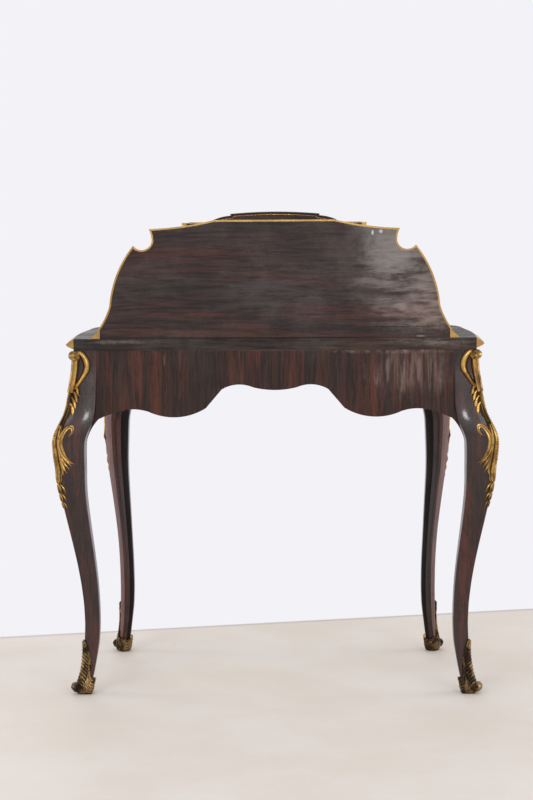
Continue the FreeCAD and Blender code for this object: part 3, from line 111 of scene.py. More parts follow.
def useGroup(shader, tree, inputs):
    node = shader.put("ShaderNodeGroup", node_tree=tree)
    for key, value in inputs.items():
        shader.give(node.inputs[key], value)
    return node.outputs


# veneer figure: broad streaks along the grain, fine lines, open pores
figureLook = {"broad": 0.45, "streaks": 2.6, "lines": 11.0, "pores": 34.0, "lineShare": 0.36, "poreShare": 0.4}
shader, given, out = newGroup(
    "veneerGrain",
    [("Vector", "v", None), ("Base", "c", colour(70, 50, 44)), ("Streak", "c", colour(30, 20, 18)),
     ("Flush", "c", colour(98, 56, 44)), ("Contrast", "f", 0.7), ("Flush Share", "f", 0.5)],
    [("Color", "c"), ("Height", "f")])
broad = shader.noise(given["Vector"], figureLook["broad"], 4.0, 0.6, 0.8)
streaks = shader.noise(given["Vector"], figureLook["streaks"], 6.0, 0.68, 0.6)
lines = shader.noise(given["Vector"], figureLook["lines"], 4.0, 0.62)
pores = shader.noise(given["Vector"], figureLook["pores"], 1.0, 0.5)
flushMask = shader.math("MULTIPLY", shader.range(broad, 0.40, 0.66), given["Flush Share"])
streakMask = shader.math("MULTIPLY", shader.range(streaks, 0.36, 0.66), given["Contrast"])
lineMask = shader.math("MULTIPLY", shader.range(lines, 0.44, 0.70), figureLook["lineShare"])
poreMask = shader.range(pores, 0.60, 0.70)
figure = shader.mix(flushMask, given["Base"], given["Flush"])
for mask in (streakMask, lineMask, shader.math("MULTIPLY", poreMask, figureLook["poreShare"])):
    figure = shader.mix(mask, figure, given["Streak"])
shader.give(out["Color"], figure)
shader.give(out["Height"], shader.math("SUBTRACT", shader.math("MULTIPLY", lines, 0.35), poreMask))
veneerGrain = shader.tree

# dust and bloom: settles on what faces up and in patches
shader, given, out = newGroup(
    "dustFilm",
    [("Vector", "v", None), ("Color", "c", colour(60, 50, 45)), ("Dust", "c", colour(150, 140, 132)),
     ("Settled", "f", 0.25), ("Patches", "f", 0.1), ("Scale", "f", 9.0)],
    [("Color", "c"), ("Mask", "f")])
facing = shader.put("ShaderNodeSeparateXYZ", {0: shader.put("ShaderNodeNewGeometry").outputs["Normal"]}).outputs["Z"]
patch = shader.range(shader.noise(given["Vector"], given["Scale"], 6.0, 0.7), 0.45, 0.78)
settled = shader.math("MULTIPLY", shader.range(facing, 0.2, 0.95), given["Settled"])
film = shader.math("ADD", shader.math("MULTIPLY", settled, shader.math("ADD", patch, 0.55)),
                   shader.math("MULTIPLY", patch, given["Patches"]), clamp=True)
shader.give(out["Color"], shader.mix(film, given["Color"], given["Dust"]))
shader.give(out["Mask"], film)
dustFilm = shader.tree

# wear and painted sheen: a ragged patch round one place
shader, given, out = newGroup(
    "wearAndSheenPatch",
    [("Vector", "v", None), ("Centre", "v", (0.0, 0.0, 0.0)), ("Reach", "v", (0.1, 0.1, 0.1)),
     ("Ragged", "f", 0.5), ("Grain", "f", 40.0)],
    [("Mask", "f")])
offset = shader.put("ShaderNodeVectorMath", {0: given["Vector"], 1: given["Centre"]}, operation="SUBTRACT").outputs[0]
offset = shader.put("ShaderNodeVectorMath", {0: offset, 1: given["Reach"]}, operation="DIVIDE").outputs[0]
distance = shader.put("ShaderNodeVectorMath", {0: offset}, operation="LENGTH").outputs["Value"]
torn = shader.noise(given["Vector"], given["Grain"], 6.0, 0.72, 0.3)
torn = shader.math("MULTIPLY", shader.math("SUBTRACT", torn, 0.5), given["Ragged"])
shader.give(out["Mask"], shader.range(shader.math("ADD", distance, torn), 1.0, 0.25))
wearAndSheenPatch = shader.tree

# gilding worn to the bronze on high places, and darkened in the recesses by dirt and by painted shade
gildingLook = {"mottle": 85.0, "broad": 22.0, "rough": 0.27, "wornRough": 0.16, "shadeAndDirtShare": 0.95, "shadeAndDirtRough": 0.3}
shader, given, out = newGroup(
    "wornShadedGilding",
    [("Vector", "v", None), ("Recess", "f", 0.0), ("Gold", "c", colour(196, 152, 84)),
     ("Bronze", "c", colour(110, 74, 40)), ("Shade And Dirt", "c", colour(34, 22, 14)), ("Wear", "f", 0.5)],
    [("Color", "c"), ("Roughness", "f"), ("Height", "f")])
mottle = shader.noise(given["Vector"], gildingLook["mottle"], 5.0, 0.7)
broad = shader.noise(given["Vector"], gildingLook["broad"], 3.0, 0.5)
wornMask = shader.range(shader.math("ADD", mottle, broad), 0.9, 1.15)
wornMask = shader.math("MULTIPLY", wornMask, given["Wear"], clamp=True)
shadeAndDirtMask = shader.math("MULTIPLY", shader.range(given["Recess"], 0.10, 0.62), gildingLook["shadeAndDirtShare"])
metal = shader.mix(wornMask, given["Gold"], given["Bronze"])
shader.give(out["Color"], shader.mix(shadeAndDirtMask, metal, given["Shade And Dirt"]))
rough = shader.math("ADD", shader.math("MULTIPLY", wornMask, gildingLook["wornRough"]),
                    shader.math("MULTIPLY", shadeAndDirtMask, gildingLook["shadeAndDirtRough"]))
shader.give(out["Roughness"], shader.math("ADD", rough, gildingLook["rough"]))
shader.give(out["Height"], mottle)
wornShadedGilding = shader.tree


# materials: each look is a dictionary of colours and shares, each mark a patch of wear on one face, some of them also
# a painted sheen
finishLook = {"haze": 14.0, "hazeRough": 0.16, "dustWearSheenRough": 0.3, "poreDeep": 0.0006, "mottleDeep": 0.0005}


def newMaterial(name):
    material = bpy.data.materials.new(name)
    material.use_nodes = True
    shader = Shader(material.node_tree)
    surface = material.node_tree.nodes["Principled BSDF"]
    place = shader.put("ShaderNodeTexCoord").outputs["Object"]
    return material, shader, surface, place


def woodMaterial(name, grain, look):
    # grain is the axis that the fibres run along: the pattern is drawn out on it
    material, shader, surface, place = newMaterial(name)
    fine, long = look["fine"], look["fine"] / look["stretch"]
    scale = tuple(long if axis == grain else fine for axis in "xyz")
    wood = useGroup(shader, veneerGrain, {
        "Vector": shader.stretched(place, scale),
        "Base": look["base"], "Streak": look["streak"], "Flush": look["flush"],
        "Contrast": look["contrast"], "Flush Share": look["flushShare"]})
    film = useGroup(shader, dustFilm, {
        "Vector": place, "Color": wood["Color"], "Dust": look["dust"],
        "Settled": look["settled"], "Patches": look["patches"]})
    tone, dustWearSheen = film["Color"], film["Mask"]
    for mark in look.get("marks", ()):
        patch = useGroup(shader, wearAndSheenPatch, {
            "Vector": place, "Centre": mark["centre"], "Reach": mark["reach"],
            "Ragged": mark["ragged"], "Grain": mark["grain"]})["Mask"]
        patch = shader.math("MULTIPLY", patch, mark["strength"])
        if mark.get("scratched"):
            scratches = shader.noise(shader.stretched(place, mark["scratched"]), 1.0, 5.0, 0.7, 0.5)
            patch = shader.math("MULTIPLY", patch, shader.range(scratches, 0.38, 0.66))
        tone = shader.mix(patch, tone, mark["colour"])
        dustWearSheen = shader.math("MAXIMUM", dustWearSheen, patch)
    haze = shader.range(shader.noise(place, finishLook["haze"], 4.0, 0.6), 0.35, 0.7)
    rough = shader.math("ADD", look["rough"], shader.math("MULTIPLY", haze, finishLook["hazeRough"]))
    rough = shader.math("ADD", rough, shader.math("MULTIPLY", dustWearSheen, finishLook["dustWearSheenRough"]), clamp=True)
    given = {"Height": wood["Height"], "Strength": look["bump"], "Distance": finishLook["poreDeep"]}
    relief = shader.put("ShaderNodeBump", given)
    shader.give(surface.inputs["Base Color"], tone)
    shader.give(surface.inputs["Roughness"], rough)
    shader.give(surface.inputs["Normal"], relief.outputs["Normal"])
    surface.inputs["Specular IOR Level"].default_value = look["gloss"]
    surface.inputs["Coat Weight"].default_value = look["polish"]
    surface.inputs["Coat Roughness"].default_value = look["polishRough"]
    return material


def metalMaterial(name, look, recessName=None):
    material, shader, surface, place = newMaterial(name)
    recess = 0.0
    if recessName:
        recess = shader.put("ShaderNodeAttribute", attribute_name=recessName).outputs["Fac"]
    metal = useGroup(shader, wornShadedGilding, {
        "Vector": place, "Recess": recess, "Gold": look["gold"], "Bronze": look["bronze"],
        "Shade And Dirt": look["shadeAndDirt"], "Wear": look["wear"]})
    given = {"Height": metal["Height"], "Strength": look["bump"], "Distance": finishLook["mottleDeep"]}
    relief = shader.put("ShaderNodeBump", given)
    shader.give(surface.inputs["Base Color"], metal["Color"])
    shader.give(surface.inputs["Roughness"], metal["Roughness"])
    shader.give(surface.inputs["Normal"], relief.outputs["Normal"])
    surface.inputs["Metallic"].default_value = look["metallic"]
    return material


def wearAndSheen(x, z, reach, tone, strength, ragged=0.9, grain=45.0, scratched=None, y=0.231):
    # a mark on an upright face: its middle, its half width and half height
    return {"centre": (x, y, z), "reach": (reach[0], 0.05, reach[1]), "colour": colour(*tone), "strength": strength,
            "ragged": ragged, "grain": grain, "scratched": scratched}


veneerLook = {
    "base": colour(58, 44, 42), "streak": colour(20, 15, 14), "flush": colour(84, 47, 40),
    "dust": colour(132, 126, 122), "contrast": 0.85, "flushShare": 0.8, "fine": 52.0, "stretch": 15.0,
    "settled": 0.22, "patches": 0.14, "rough": 0.34, "bump": 0.35, "gloss": 0.18, "polish": 0.12, "polishRough": 0.22,
}
panelWood = woodMaterial("panelVeneer", "x", {**veneerLook, "marks": (
    # the broad grey patches of the first seven marks are partly scuffs and partly a painted sheen, strongest on the -x
    # half
    wearAndSheen(-0.270, 0.890, (0.150, 0.150), (138, 132, 128), 0.62, 0.8, 24.0, (10.0, 60.0, 55.0)),
    wearAndSheen(-0.235, 0.930, (0.075, 0.070), (158, 152, 148), 0.34, 1.3, 70.0),
    wearAndSheen(-0.215, 0.975, (0.090, 0.045), (140, 137, 134), 0.30, 1.1, 42.0),
    wearAndSheen(-0.020, 0.850, (0.190, 0.080), (104, 104, 104), 0.26, 1.2, 22.0, (9.0, 60.0, 40.0)),
    wearAndSheen(-0.330, 0.800, (0.060, 0.050), (158, 140, 130), 0.50, 1.3, 60.0, (20.0, 60.0, 90.0)),
    wearAndSheen(0.250, 0.870, (0.110, 0.050), (96, 90, 86), 0.22, 1.3, 34.0, (12.0, 60.0, 60.0)),
    wearAndSheen(-0.290, 0.830, (0.110, 0.090), (170, 150, 142), 0.40, 1.2, 46.0, (14.0, 60.0, 80.0)),
    wearAndSheen(-0.201, 0.966, (0.0032, 0.0072), (216, 212, 206), 0.85, 0.8, 300.0),
    wearAndSheen(-0.218, 0.968, (0.0050, 0.0052), (210, 206, 200), 0.80, 0.9, 300.0),
    wearAndSheen(-0.300, 0.7535, (0.013, 0.0026), (150, 126, 108), 0.70, 1.1, 260.0),
    wearAndSheen(-0.232, 0.7725, (0.090, 0.0016), (12, 9, 8), 0.95, 0.5, 160.0),
    wearAndSheen(0.0, 0.7502, (0.420, 0.0026), (10, 8, 7), 0.95, 0.4, 90.0),
)})
apronWood = woodMaterial("apronVeneer", "z", {
    **veneerLook, "base": colour(54, 37, 31), "flush": colour(96, 49, 37), "streak": colour(20, 14, 12),
    "fine": 64.0, "patches": 0.05, "marks": (
        wearAndSheen(0.228, 0.705, (0.0014, 0.018), (150, 128, 116), 0.35, 0.8, 200.0, y=0.2303),
        wearAndSheen(-0.245, 0.7225, (0.150, 0.0075), (142, 118, 108), 0.70, 1.5, 120.0, (50.0, 60.0, 20.0), y=0.2303),
        wearAndSheen(-0.280, 0.680, (0.120, 0.065), (146, 122, 114), 0.55, 1.1, 40.0, (90.0, 60.0, 8.0), y=0.2303),
        wearAndSheen(0.0, 0.7265, (0.330, 0.0035), (116, 98, 90), 0.40, 1.6, 110.0, y=0.2303))})
legPolish = {**veneerLook, "fine": 60.0, "rough": 0.26, "gloss": 0.30, "polish": 0.45, "polishRough": 0.10}
legWood = woodMaterial("legVeneer", "z", {
    **legPolish, "base": colour(46, 25, 20), "flush": colour(90, 38, 26), "streak": colour(15, 9, 8),
    "patches": 0.02})
# lit and shaded copies of the leg veneer: painted light on the outer narrow face, painted shade on the inner one
legPaintedLit = woodMaterial("legVeneerPaintedLit", "z", {
    **legPolish, "base": colour(112, 78, 73), "flush": colour(132, 86, 78), "streak": colour(70, 48, 45),
    "contrast": 0.6})
legShaded = woodMaterial("legVeneerShaded", "z", {
    **legPolish, "base": colour(24, 17, 15), "flush": colour(36, 24, 20), "streak": colour(12, 9, 8),
    "contrast": 0.6, "rough": 0.42, "gloss": 0.10, "polish": 0.0, "patches": 0.02})
topWood = woodMaterial("topVeneer", "x", {
    **veneerLook, "base": colour(60, 50, 45), "flush": colour(84, 62, 52), "rough": 0.46,
    "polish": 0.0, "settled": 0.16, "marks": (
        wearAndSheen(-0.330, 0.741, (0.120, 0.012), (140, 130, 124), 0.55, 1.5, 60.0, (20.0, 60.0, 120.0), y=0.2515),
        wearAndSheen(0.320, 0.744, (0.090, 0.006), (126, 116, 108), 0.45, 1.5, 60.0, y=0.2515))})
frontWood = woodMaterial("frontVeneer", "z", {
    **veneerLook, "base": colour(74, 40, 31), "flush": colour(112, 60, 42), "streak": colour(34, 20, 18),
    "rough": 0.24, "gloss": 0.30, "polish": 0.5, "polishRough": 0.12, "patches": 0.03})
caseWood = woodMaterial("caseVeneer", "y", {
    **veneerLook, "base": colour(68, 42, 34), "flush": colour(96, 56, 42), "rough": 0.28, "gloss": 0.25,
    "polish": 0.35})
oakLook = {
    "base": colour(168, 132, 92), "streak": colour(118, 86, 56), "flush": colour(186, 148, 104),
    "dust": colour(176, 164, 148), "contrast": 0.55, "flushShare": 0.5, "fine": 36.0, "stretch": 14.0,
    "settled": 0.3, "patches": 0.12, "rough": 0.58, "bump": 0.5, "gloss": 0.3, "polish": 0.0, "polishRough": 0.3,
}
oakAlong = woodMaterial("oakAlongX", "x", oakLook)
oakDeep = woodMaterial("oakAlongY", "y", oakLook)
giltLook = {
    "gold": colour(200, 160, 92), "bronze": colour(112, 80, 44), "shadeAndDirt": colour(26, 17, 11),
    "wear": 0.8, "bump": 0.25, "metallic": 0.92,
}
giltPlain = metalMaterial("giltBronzePlain", {**giltLook, "gold": colour(184, 148, 88), "wear": 0.35})
giltCast = metalMaterial("giltBronzeCast", {**giltLook, "bump": 0.4}, "recess")
agedCast = metalMaterial("agedBronzeCast", {
    **giltLook, "gold": colour(142, 114, 74), "bronze": colour(62, 46, 31), "shadeAndDirt": colour(20, 15, 11),
    "wear": 1.4, "metallic": 0.85}, "recess")
steelDull = metalMaterial("steelDull", {
    "gold": colour(136, 130, 124), "bronze": colour(92, 84, 76), "shadeAndDirt": colour(40, 34, 30),
    "wear": 0.7, "bump": 0.3, "metallic": 0.95})


def leatherMaterial(look):
    material, shader, surface, place = newMaterial("writingLeather")
    cells = shader.put("ShaderNodeTexVoronoi", {"Vector": place, "Scale": look["grain"]}, feature="SMOOTH_F1")
    blotch = shader.range(shader.noise(place, look["blotches"], 5.0, 0.65), 0.35, 0.7)
    tone = shader.mix(blotch, look["dark"], look["light"])
    rubbed = shader.range(shader.noise(place, look["rubbed"], 6.0, 0.7), 0.5, 0.75)
    rubbed = shader.math("MULTIPLY", rubbed, look["rubbedShare"])
    rough = shader.math("ADD", look["rough"], shader.math("MULTIPLY", blotch, look["blotchRough"]))
    shader.give(surface.inputs["Base Color"], shader.mix(rubbed, tone, look["wearAndSheen"]))
    shader.give(surface.inputs["Roughness"], rough)
    given = {"Height": cells.outputs["Distance"], "Strength": look["bump"], "Distance": look["grainDeep"]}
    relief = shader.put("ShaderNodeBump", given)
    shader.give(surface.inputs["Normal"], relief.outputs["Normal"])
    return material


leather = leatherMaterial({
    "dark": colour(66, 26, 18), "light": colour(96, 42, 26), "wearAndSheen": colour(122, 72, 48), "rubbedShare": 0.5,
    "blotches": 9.0, "rubbed": 4.0, "grain": 900.0, "grainDeep": 0.0003, "bump": 0.3, "rough": 0.46,
    "blotchRough": 0.18})


def bothHands(*names):
    return tuple(f"{name}_{hand}" for name in names for hand in ("right", "left"))


nodeMaterials = {
    panelWood: ("back_panel", "pediment"),
    apronWood: ("back_apron",),
    legWood: bothHands("leg_rear", "leg_front", "side_apron"),
    topWood: ("tabletop", *bothHands("bank_top"), "cupboard_top", "top_rail"),
    frontWood: ("frieze_drawer_front", "cupboard_door"),
    caseWood: bothHands("side_wall", "partition"),
    oakAlong: ("frieze_drawer_back", "frieze_drawer_bottom", "drawer_rail", "cupboard_shelf", "plinth",
               "drawer_dividers"),
    oakDeep: (*bothHands("frieze_drawer_side"), "drawer_runners"),
    giltPlain: ("rear_chutes", "front_chutes", "edge_moulding", "panel_fillet", "cove_moulding", "cornice",
                "handle_plates", "frieze_escutcheon", "door_escutcheon", "hinge_fixed_leaves", "hinge_door_leaves",
                *bothHands("handle_bail", "lower_knob", "upper_knob")),
    agedCast: ("rear_sabots", "front_sabots"),
    leather: ("writing_leather",),
    steelDull: ("frieze_lock_case", "frieze_lock_bolt", "frieze_key", "door_lock_case", "door_lock_bolt",
                "door_key"),
}
for material, names in nodeMaterials.items():
    for name in names:
        nodes[name].data.materials.clear()
        nodes[name].data.materials.append(material)

# small drawers: veneered front, oak box; faces before the front's back plane are the front
frontThickness, slack = 0.012, 0.0002
for name in bothHands("lower_drawer", "upper_drawer"):
    mesh = nodes[name].data
    mesh.materials.clear()
    mesh.materials.append(frontWood)
    mesh.materials.append(oakDeep)
    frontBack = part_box(name)[0].y + frontThickness
    for face in mesh.polygons:
        face.material_index = 0 if face.center.y < frontBack - slack else 1
print("materials on", len(nodes), "nodes")


def linked(name, data):
    thing = bpy.data.objects.new(name, data)
    bpy.context.scene.collection.objects.link(thing)
    return thing


def turnOutward(mesh):
    work = bmesh.new()
    work.from_mesh(mesh)
    bmesh.ops.recalc_face_normals(work, faces=work.faces)
    work.to_mesh(mesh)
    work.free()


# a volute's barrel: its girth at the ends and how much it swells, how deep its flutes are and how far they twist; the
# darkness of its flutes and ends is dirt and painted shade
rollLook = {"end": 0.72, "swell": 0.28, "crest": 0.93, "flute": 0.07, "twist": 1.5, "fluteDark": 0.34, "endDark": 0.3}


# cast and carved pieces are collected as closed tubes of rings, then made one mesh
class Casting:
    def __init__(self):
        self.points, self.faces, self.recess = [], [], []

    def tube(self, rings, recess):
        # rings of equal length, each a list of points; recess gives each point a value, 0 high to 1 deep
        base, count = len(self.points), len(rings[0])
        for ring, depths in zip(rings, recess):
            self.points.extend(ring)
            self.recess.extend(depths)
        for row in range(len(rings) - 1):
            start = base + row * count
            for step in range(count):
                after = (step + 1) % count
                self.faces.append((start + step, start + after, start + count + after, start + count + step))
        last = base + (len(rings) - 1) * count
        self.faces.append(tuple(range(base, base + count)))
        self.faces.append(tuple(range(last, last + count)))

    def roll(self, hub, reach, axis, radius, halfWidth, lobes, sides=20, stations=9):
        # a volute seen end on: a barrel about an axis, fluted round its girth
        up = Vector(axis).cross(Vector(reach))
        rings, recess = [], []
        for step in range(stations):
            share = -1 + 2 * step / (stations - 1)
            girth = radius * (rollLook["end"] + rollLook["swell"] * math.sqrt(max(0.0, 1 - share * share)))
            ring, depths = [], []
            for turn in range(sides):
                angle = 2 * math.pi * turn / sides
                flute = 0.5 + 0.5 * math.cos(lobes * angle + share * rollLook["twist"])
                size = girth * (rollLook["crest"] + rollLook["flute"] * flute)
                ring.append(hub + Vector(reach) * math.cos(angle) * size + up * math.sin(angle) * size
                            + Vector(axis) * share * halfWidth)
                atEnd = step in (0, stations - 1)
                depths.append(rollLook["fluteDark"] * (1 - flute) + (rollLook["endDark"] if atEnd else 0.0))
            rings.append(ring)
            recess.append(depths)
        self.tube(rings, recess)

    def take(self, other):
        base = len(self.points)
        self.points.extend(other.points)
        self.recess.extend(other.recess)
        self.faces.extend(tuple(base + corner for corner in face) for face in other.faces)

    def build(self, name, material, body, replaced, slotName, angle=50):
        mesh = bpy.data.meshes.new(name)
        mesh.from_pydata([tuple(p) for p in self.points], [], self.faces)
        # the recess values darken the bronze in its hollows: dirt and painted shade together
        depth = mesh.attributes.new("recess", "FLOAT", "POINT")
        depth.data.foreach_set("value", self.recess)
        turnOutward(mesh)
        mesh.materials.append(material)
        mesh.polygons.foreach_set("use_smooth", [True] * len(mesh.polygons))
        mesh.set_sharp_from_angle(angle=math.radians(angle))
        piece = linked(name, mesh)
        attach(piece, body)
        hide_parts(*replaced)
        return piece


def eased(value, table):
    # reads a table of (place, value) pairs, smoothly between its points
    if value <= table[0][0]:
        return table[0][1]
    for (a, low), (b, high) in zip(table, table[1:]):
        if value <= b:
            share = (value - a) / (b - a)
            share = share * share * (3 - 2 * share)
            return low + (high - low) * share
    return table[-1][1]


def smoothPath(points, count):
    # places on one soft curve through the given points, evenly spread over its spans
    knots = [np.array(p, float) for p in points]
    knots = [2 * knots[0] - knots[1]] + knots + [2 * knots[-1] - knots[-2]]
    path = []
    spans = len(points) - 1
    for step in range(count):
        along = step / (count - 1) * spans
        index = min(int(along), spans - 1)
        t = along - index
        a, b, c, d = knots[index:index + 4]
        bend = (2 * a - 5 * b + 4 * c - d) * t * t + (3 * b - a - 3 * c + d) * t ** 3
        path.append(0.5 * (2 * b + (c - a) * t + bend))
    return path


def roundedCorner(before, corner, after, radius, count):
    # points of the arc that takes the place of one corner of a section
    before, corner, after = (np.array(p) for p in (before, corner, after))
    inward = (before - corner) / np.linalg.norm(before - corner)
    onward = (after - corner) / np.linalg.norm(after - corner)
    half = math.acos(float(inward @ onward)) / 2
    bisector = (inward + onward) / np.linalg.norm(inward + onward)
    centre = corner + bisector * radius / math.sin(half)
    first = corner + inward * radius / math.tan(half) - centre
    last = corner + onward * radius / math.tan(half) - centre
    spots = []
    for step in range(count):
        way = first + (last - first) * step / (count - 1)
        spots.append(centre + way / np.linalg.norm(way) * radius)
    return spots


# legs: one smooth cabriole curve through the CAD leg's own sections
legLook = {
    # the course is read at a fine step, some way beyond both ends, and smoothed over a width
    "fineStep": 0.001, "beyond": 0.04, "softness": 0.009, "softSteps": 30,
    "rowStep": 0.006, "arcPoints": 5, "chamferPoints": 3, "flatPoints": 3,
    # points of a CAD section that goes all the way round; fewer belong to a notch
    "fullRing": 60,
    # radius of the outer arris and of the chamfers' edges, as a share of the half width
    "arris": 0.13, "chamferArris": 0.05,
    # between these heights the front legs' narrow faces get a painted light on the outer one and a painted shade on
    # the inner one
    "litShadeLow": 0.02, "litShadeHigh": 0.66, "litShadeLikeness": 0.93,
    # how far a face swells, as a share of the half width, and where that fades
    "crown": 0.085, "crownFade": ((0.03, 0.2), (0.12, 1.0), (0.64, 1.0), (0.70, 0.2)),
    # at each height: share of the half width, and how far the leg draws in sideways and, by a share, endways
    "slim": {"rear": ((0, 1.0), (1, 1.0)), "front": ((0.14, 1.0), (0.30, 0.86), (0.60, 0.87), (0.70, 1.0))},
    "drawIn": {"rear": ((0.42, 0.0), (0.49, 0.0018), (0.59, 0.0018), (0.66, 0.0)),
               "front": ((0.14, 0.0), (0.40, 0.0030), (0.56, 0.0060), (0.66, 0.0))},
    "endways": 0.8,
    # the mounts lie flatter where the knee is widest
    "flatten": ((0.43, 1.0), (0.50, 0.56), (0.585, 0.56), (0.64, 1.0)),
    # share of the half width that is taken off the two corners on the far side of the leg
    "chamfer": {"rear": 0.3, "front": 0.6},
}


class LegCourse:
    def __init__(self, corner):
        self.flatPoints = legLook["flatPoints"]
        row, hand = corner.split("_")
        self.row = row
        self.name = "leg_" + corner
        self.side = 1 if hand == "right" else -1
        self.facing = 1 if row == "rear" else -1
        self.chamfer = legLook["chamfer"][row]
        levels = {}
        for vertex in nodes[self.name].data.vertices:
            levels.setdefault(round(vertex.co.z, 4), []).append(vertex.co[:2])
        heights, course = [], []
        for height in sorted(levels):
            if len(levels[height]) < legLook["fullRing"]:
                continue
            u, v = (np.array(levels[height]) * (self.side, self.facing)).T
            heights.append(height)
            course.append(((u.max() + u.min()) / 2, (v.max() + v.min()) / 2, (u.max() - u.min()) / 2))
        self.low, self.high = heights[0], heights[-1]
        step, beyond, wide = legLook["fineStep"], legLook["beyond"], legLook["softSteps"]
        fine = np.arange(self.low - beyond, self.high + beyond, step)
        spread = np.exp(-0.5 * (np.arange(-wide, wide + 1) * step / legLook["softness"]) ** 2)
        spread /= spread.sum()
        course = np.array(course)
        self.fine = fine
        self.course = []
        for column in range(3):
            # straight on beyond both ends, so that the smoothing doesn't pull them in
            line = np.interp(fine, heights, course[:, column])
            below, above = fine < self.low, fine > self.high
            slope = (course[1, column] - course[0, column]) / (heights[1] - heights[0])
            line[below] = course[0, column] + (fine[below] - self.low) * slope
            line[above] = course[-1, column]
            self.course.append(np.convolve(np.pad(line, wide, mode="edge"), spread, mode="valid"))

    def at(self, height):
        # centre along the side and end ways, and half width
        u, v, half = (float(np.interp(height, self.fine, line)) for line in self.course)
        drawn = eased(height, legLook["drawIn"][self.row])
        return u - drawn, v - drawn * legLook["endways"], half * eased(height, legLook["slim"][self.row])

    def place(self, height, local, level=None):
        # local: distances to the outer side and to the outer end from the leg's middle
        u, v, half = self.at(height)
        return Vector((self.side * (u + local[0]), self.facing * (v + local[1]), height if level is None else level))

    def onSkin(self, height, across, proud):
        # across: distance from the outer arris, more than 0 on the side face and less on the end face
        half = self.at(height)[2]
        proud *= eased(height, legLook["flatten"])
        radius = half * legLook["arris"]
        bend = radius * math.pi / 4
        if abs(across) <= bend:
            angle = math.pi / 4 - across / radius
            spot = np.array((math.cos(angle), math.sin(angle)))
            return self.place(height, (half - radius) * np.ones(2) + spot * (radius + proud))
        along = half - radius - (abs(across) - bend)
        return self.place(height, (half + proud, along) if across > 0 else (along, half + proud))

    def section(self, height, proud=0.0):
        # the whole outline as local points, from the middle of the outer arris round by the end face
        half = self.at(height)[2]
        cut = half * self.chamfer
        reach, eave = half + proud, half - cut + proud * math.tan(math.pi / 8)
        corners = [(reach, reach), (-reach, reach), (-reach, -eave), (-eave, -reach), (eave, -reach), (reach, -eave)]
        points = []
        for index, corner in enumerate(corners):
            # the first two corners are full arrises, the other four edge the chamfers
            count = legLook["arcPoints" if index < 2 else "chamferPoints"]
            radius = half * legLook["arris" if index < 2 else "chamferArris"] + proud
            arc = roundedCorner(corners[index - 1], corner, corners[(index + 1) % 6], radius, count)
            if points:
                points.extend(self.flat(points[-1], arc[0], height))
            points.extend(arc)
        points.extend(self.flat(points[-1], points[0], height))
        middle = legLook["arcPoints"] // 2
        return points[middle:] + points[:middle]

    def flat(self, start, end, height):
        # a face of the section: nearly straight, swelling outward in its middle
        count = self.flatPoints
        swell = legLook["crown"] * eased(height, legLook["crownFade"]) * float(np.linalg.norm(end - start)) / 2
        outward = np.array((start[1] - end[1], end[0] - start[0]))
        outward = -outward / np.linalg.norm(outward)
        if outward @ (start + end) < 0:
            outward = -outward
        shares = [step / (count + 1) for step in range(1, count + 1)]
        return [start + (end - start) * share + outward * swell * 4 * share * (1 - share) for share in shares]

    def ring(self, height):
        return [self.place(height, point) for point in self.section(height)]


legCourses = {corner: LegCourse(corner) for corner in bothHands("rear", "front")}
for course in legCourses.values():
    timber = Casting()
    rows = int((course.high - course.low) / legLook["rowStep"])
    rings = [course.ring(course.low + (course.high - course.low) * row / rows) for row in range(rows + 1)]
    timber.tube(rings, [[0.0] * len(ring) for ring in rings])
    leg = timber.build("timber_" + course.name, legWood, "table", (course.name,), "rosewood", angle=30)
    if course.row == "front":
        # the narrow faces at the back: the outer one has a painted light, the inner one a painted shade
        for material in (legPaintedLit, legShaded):
            leg.data.materials.append(material)
        for face in leg.data.polygons:
            for slot, side in ((1, course.side), (2, -course.side)):
                alike = face.normal.dot(Vector((side, 1, 0)).normalized()) > legLook["litShadeLikeness"]
                if alike and legLook["litShadeLow"] < face.center.z < legLook["litShadeHigh"]:
                    face.material_index = slot
print("legs made:", ", ".join(legCourses))


# bronze relief laid on a leg's skin: a ridge or fold stands on a flat share of its height, thins out to
# nothing where it is narrow, and its underside is sunk in the wood
reliefLook = {
    "flat": 0.62, "ridge": 0.38, "ribbonThin": 0.003, "ribbonSunk": 0.0012, "leafThin": 0.004, "leafSunk": 0.0015,
    "edge": 0.6, "toothDeep": 0.2, "toothThin": 0.25, "midribHigh": 0.18, "midribWide": 0.12, "droop": 0.3,
    # how dark folds, rims, ridges and teeth are: dirt and painted shade
    "ridgeDark": 0.5, "rimDark": 0.4, "foldDark": 0.55, "toothDark": 0.5,
}
unlifted = ((0, 0.0),)


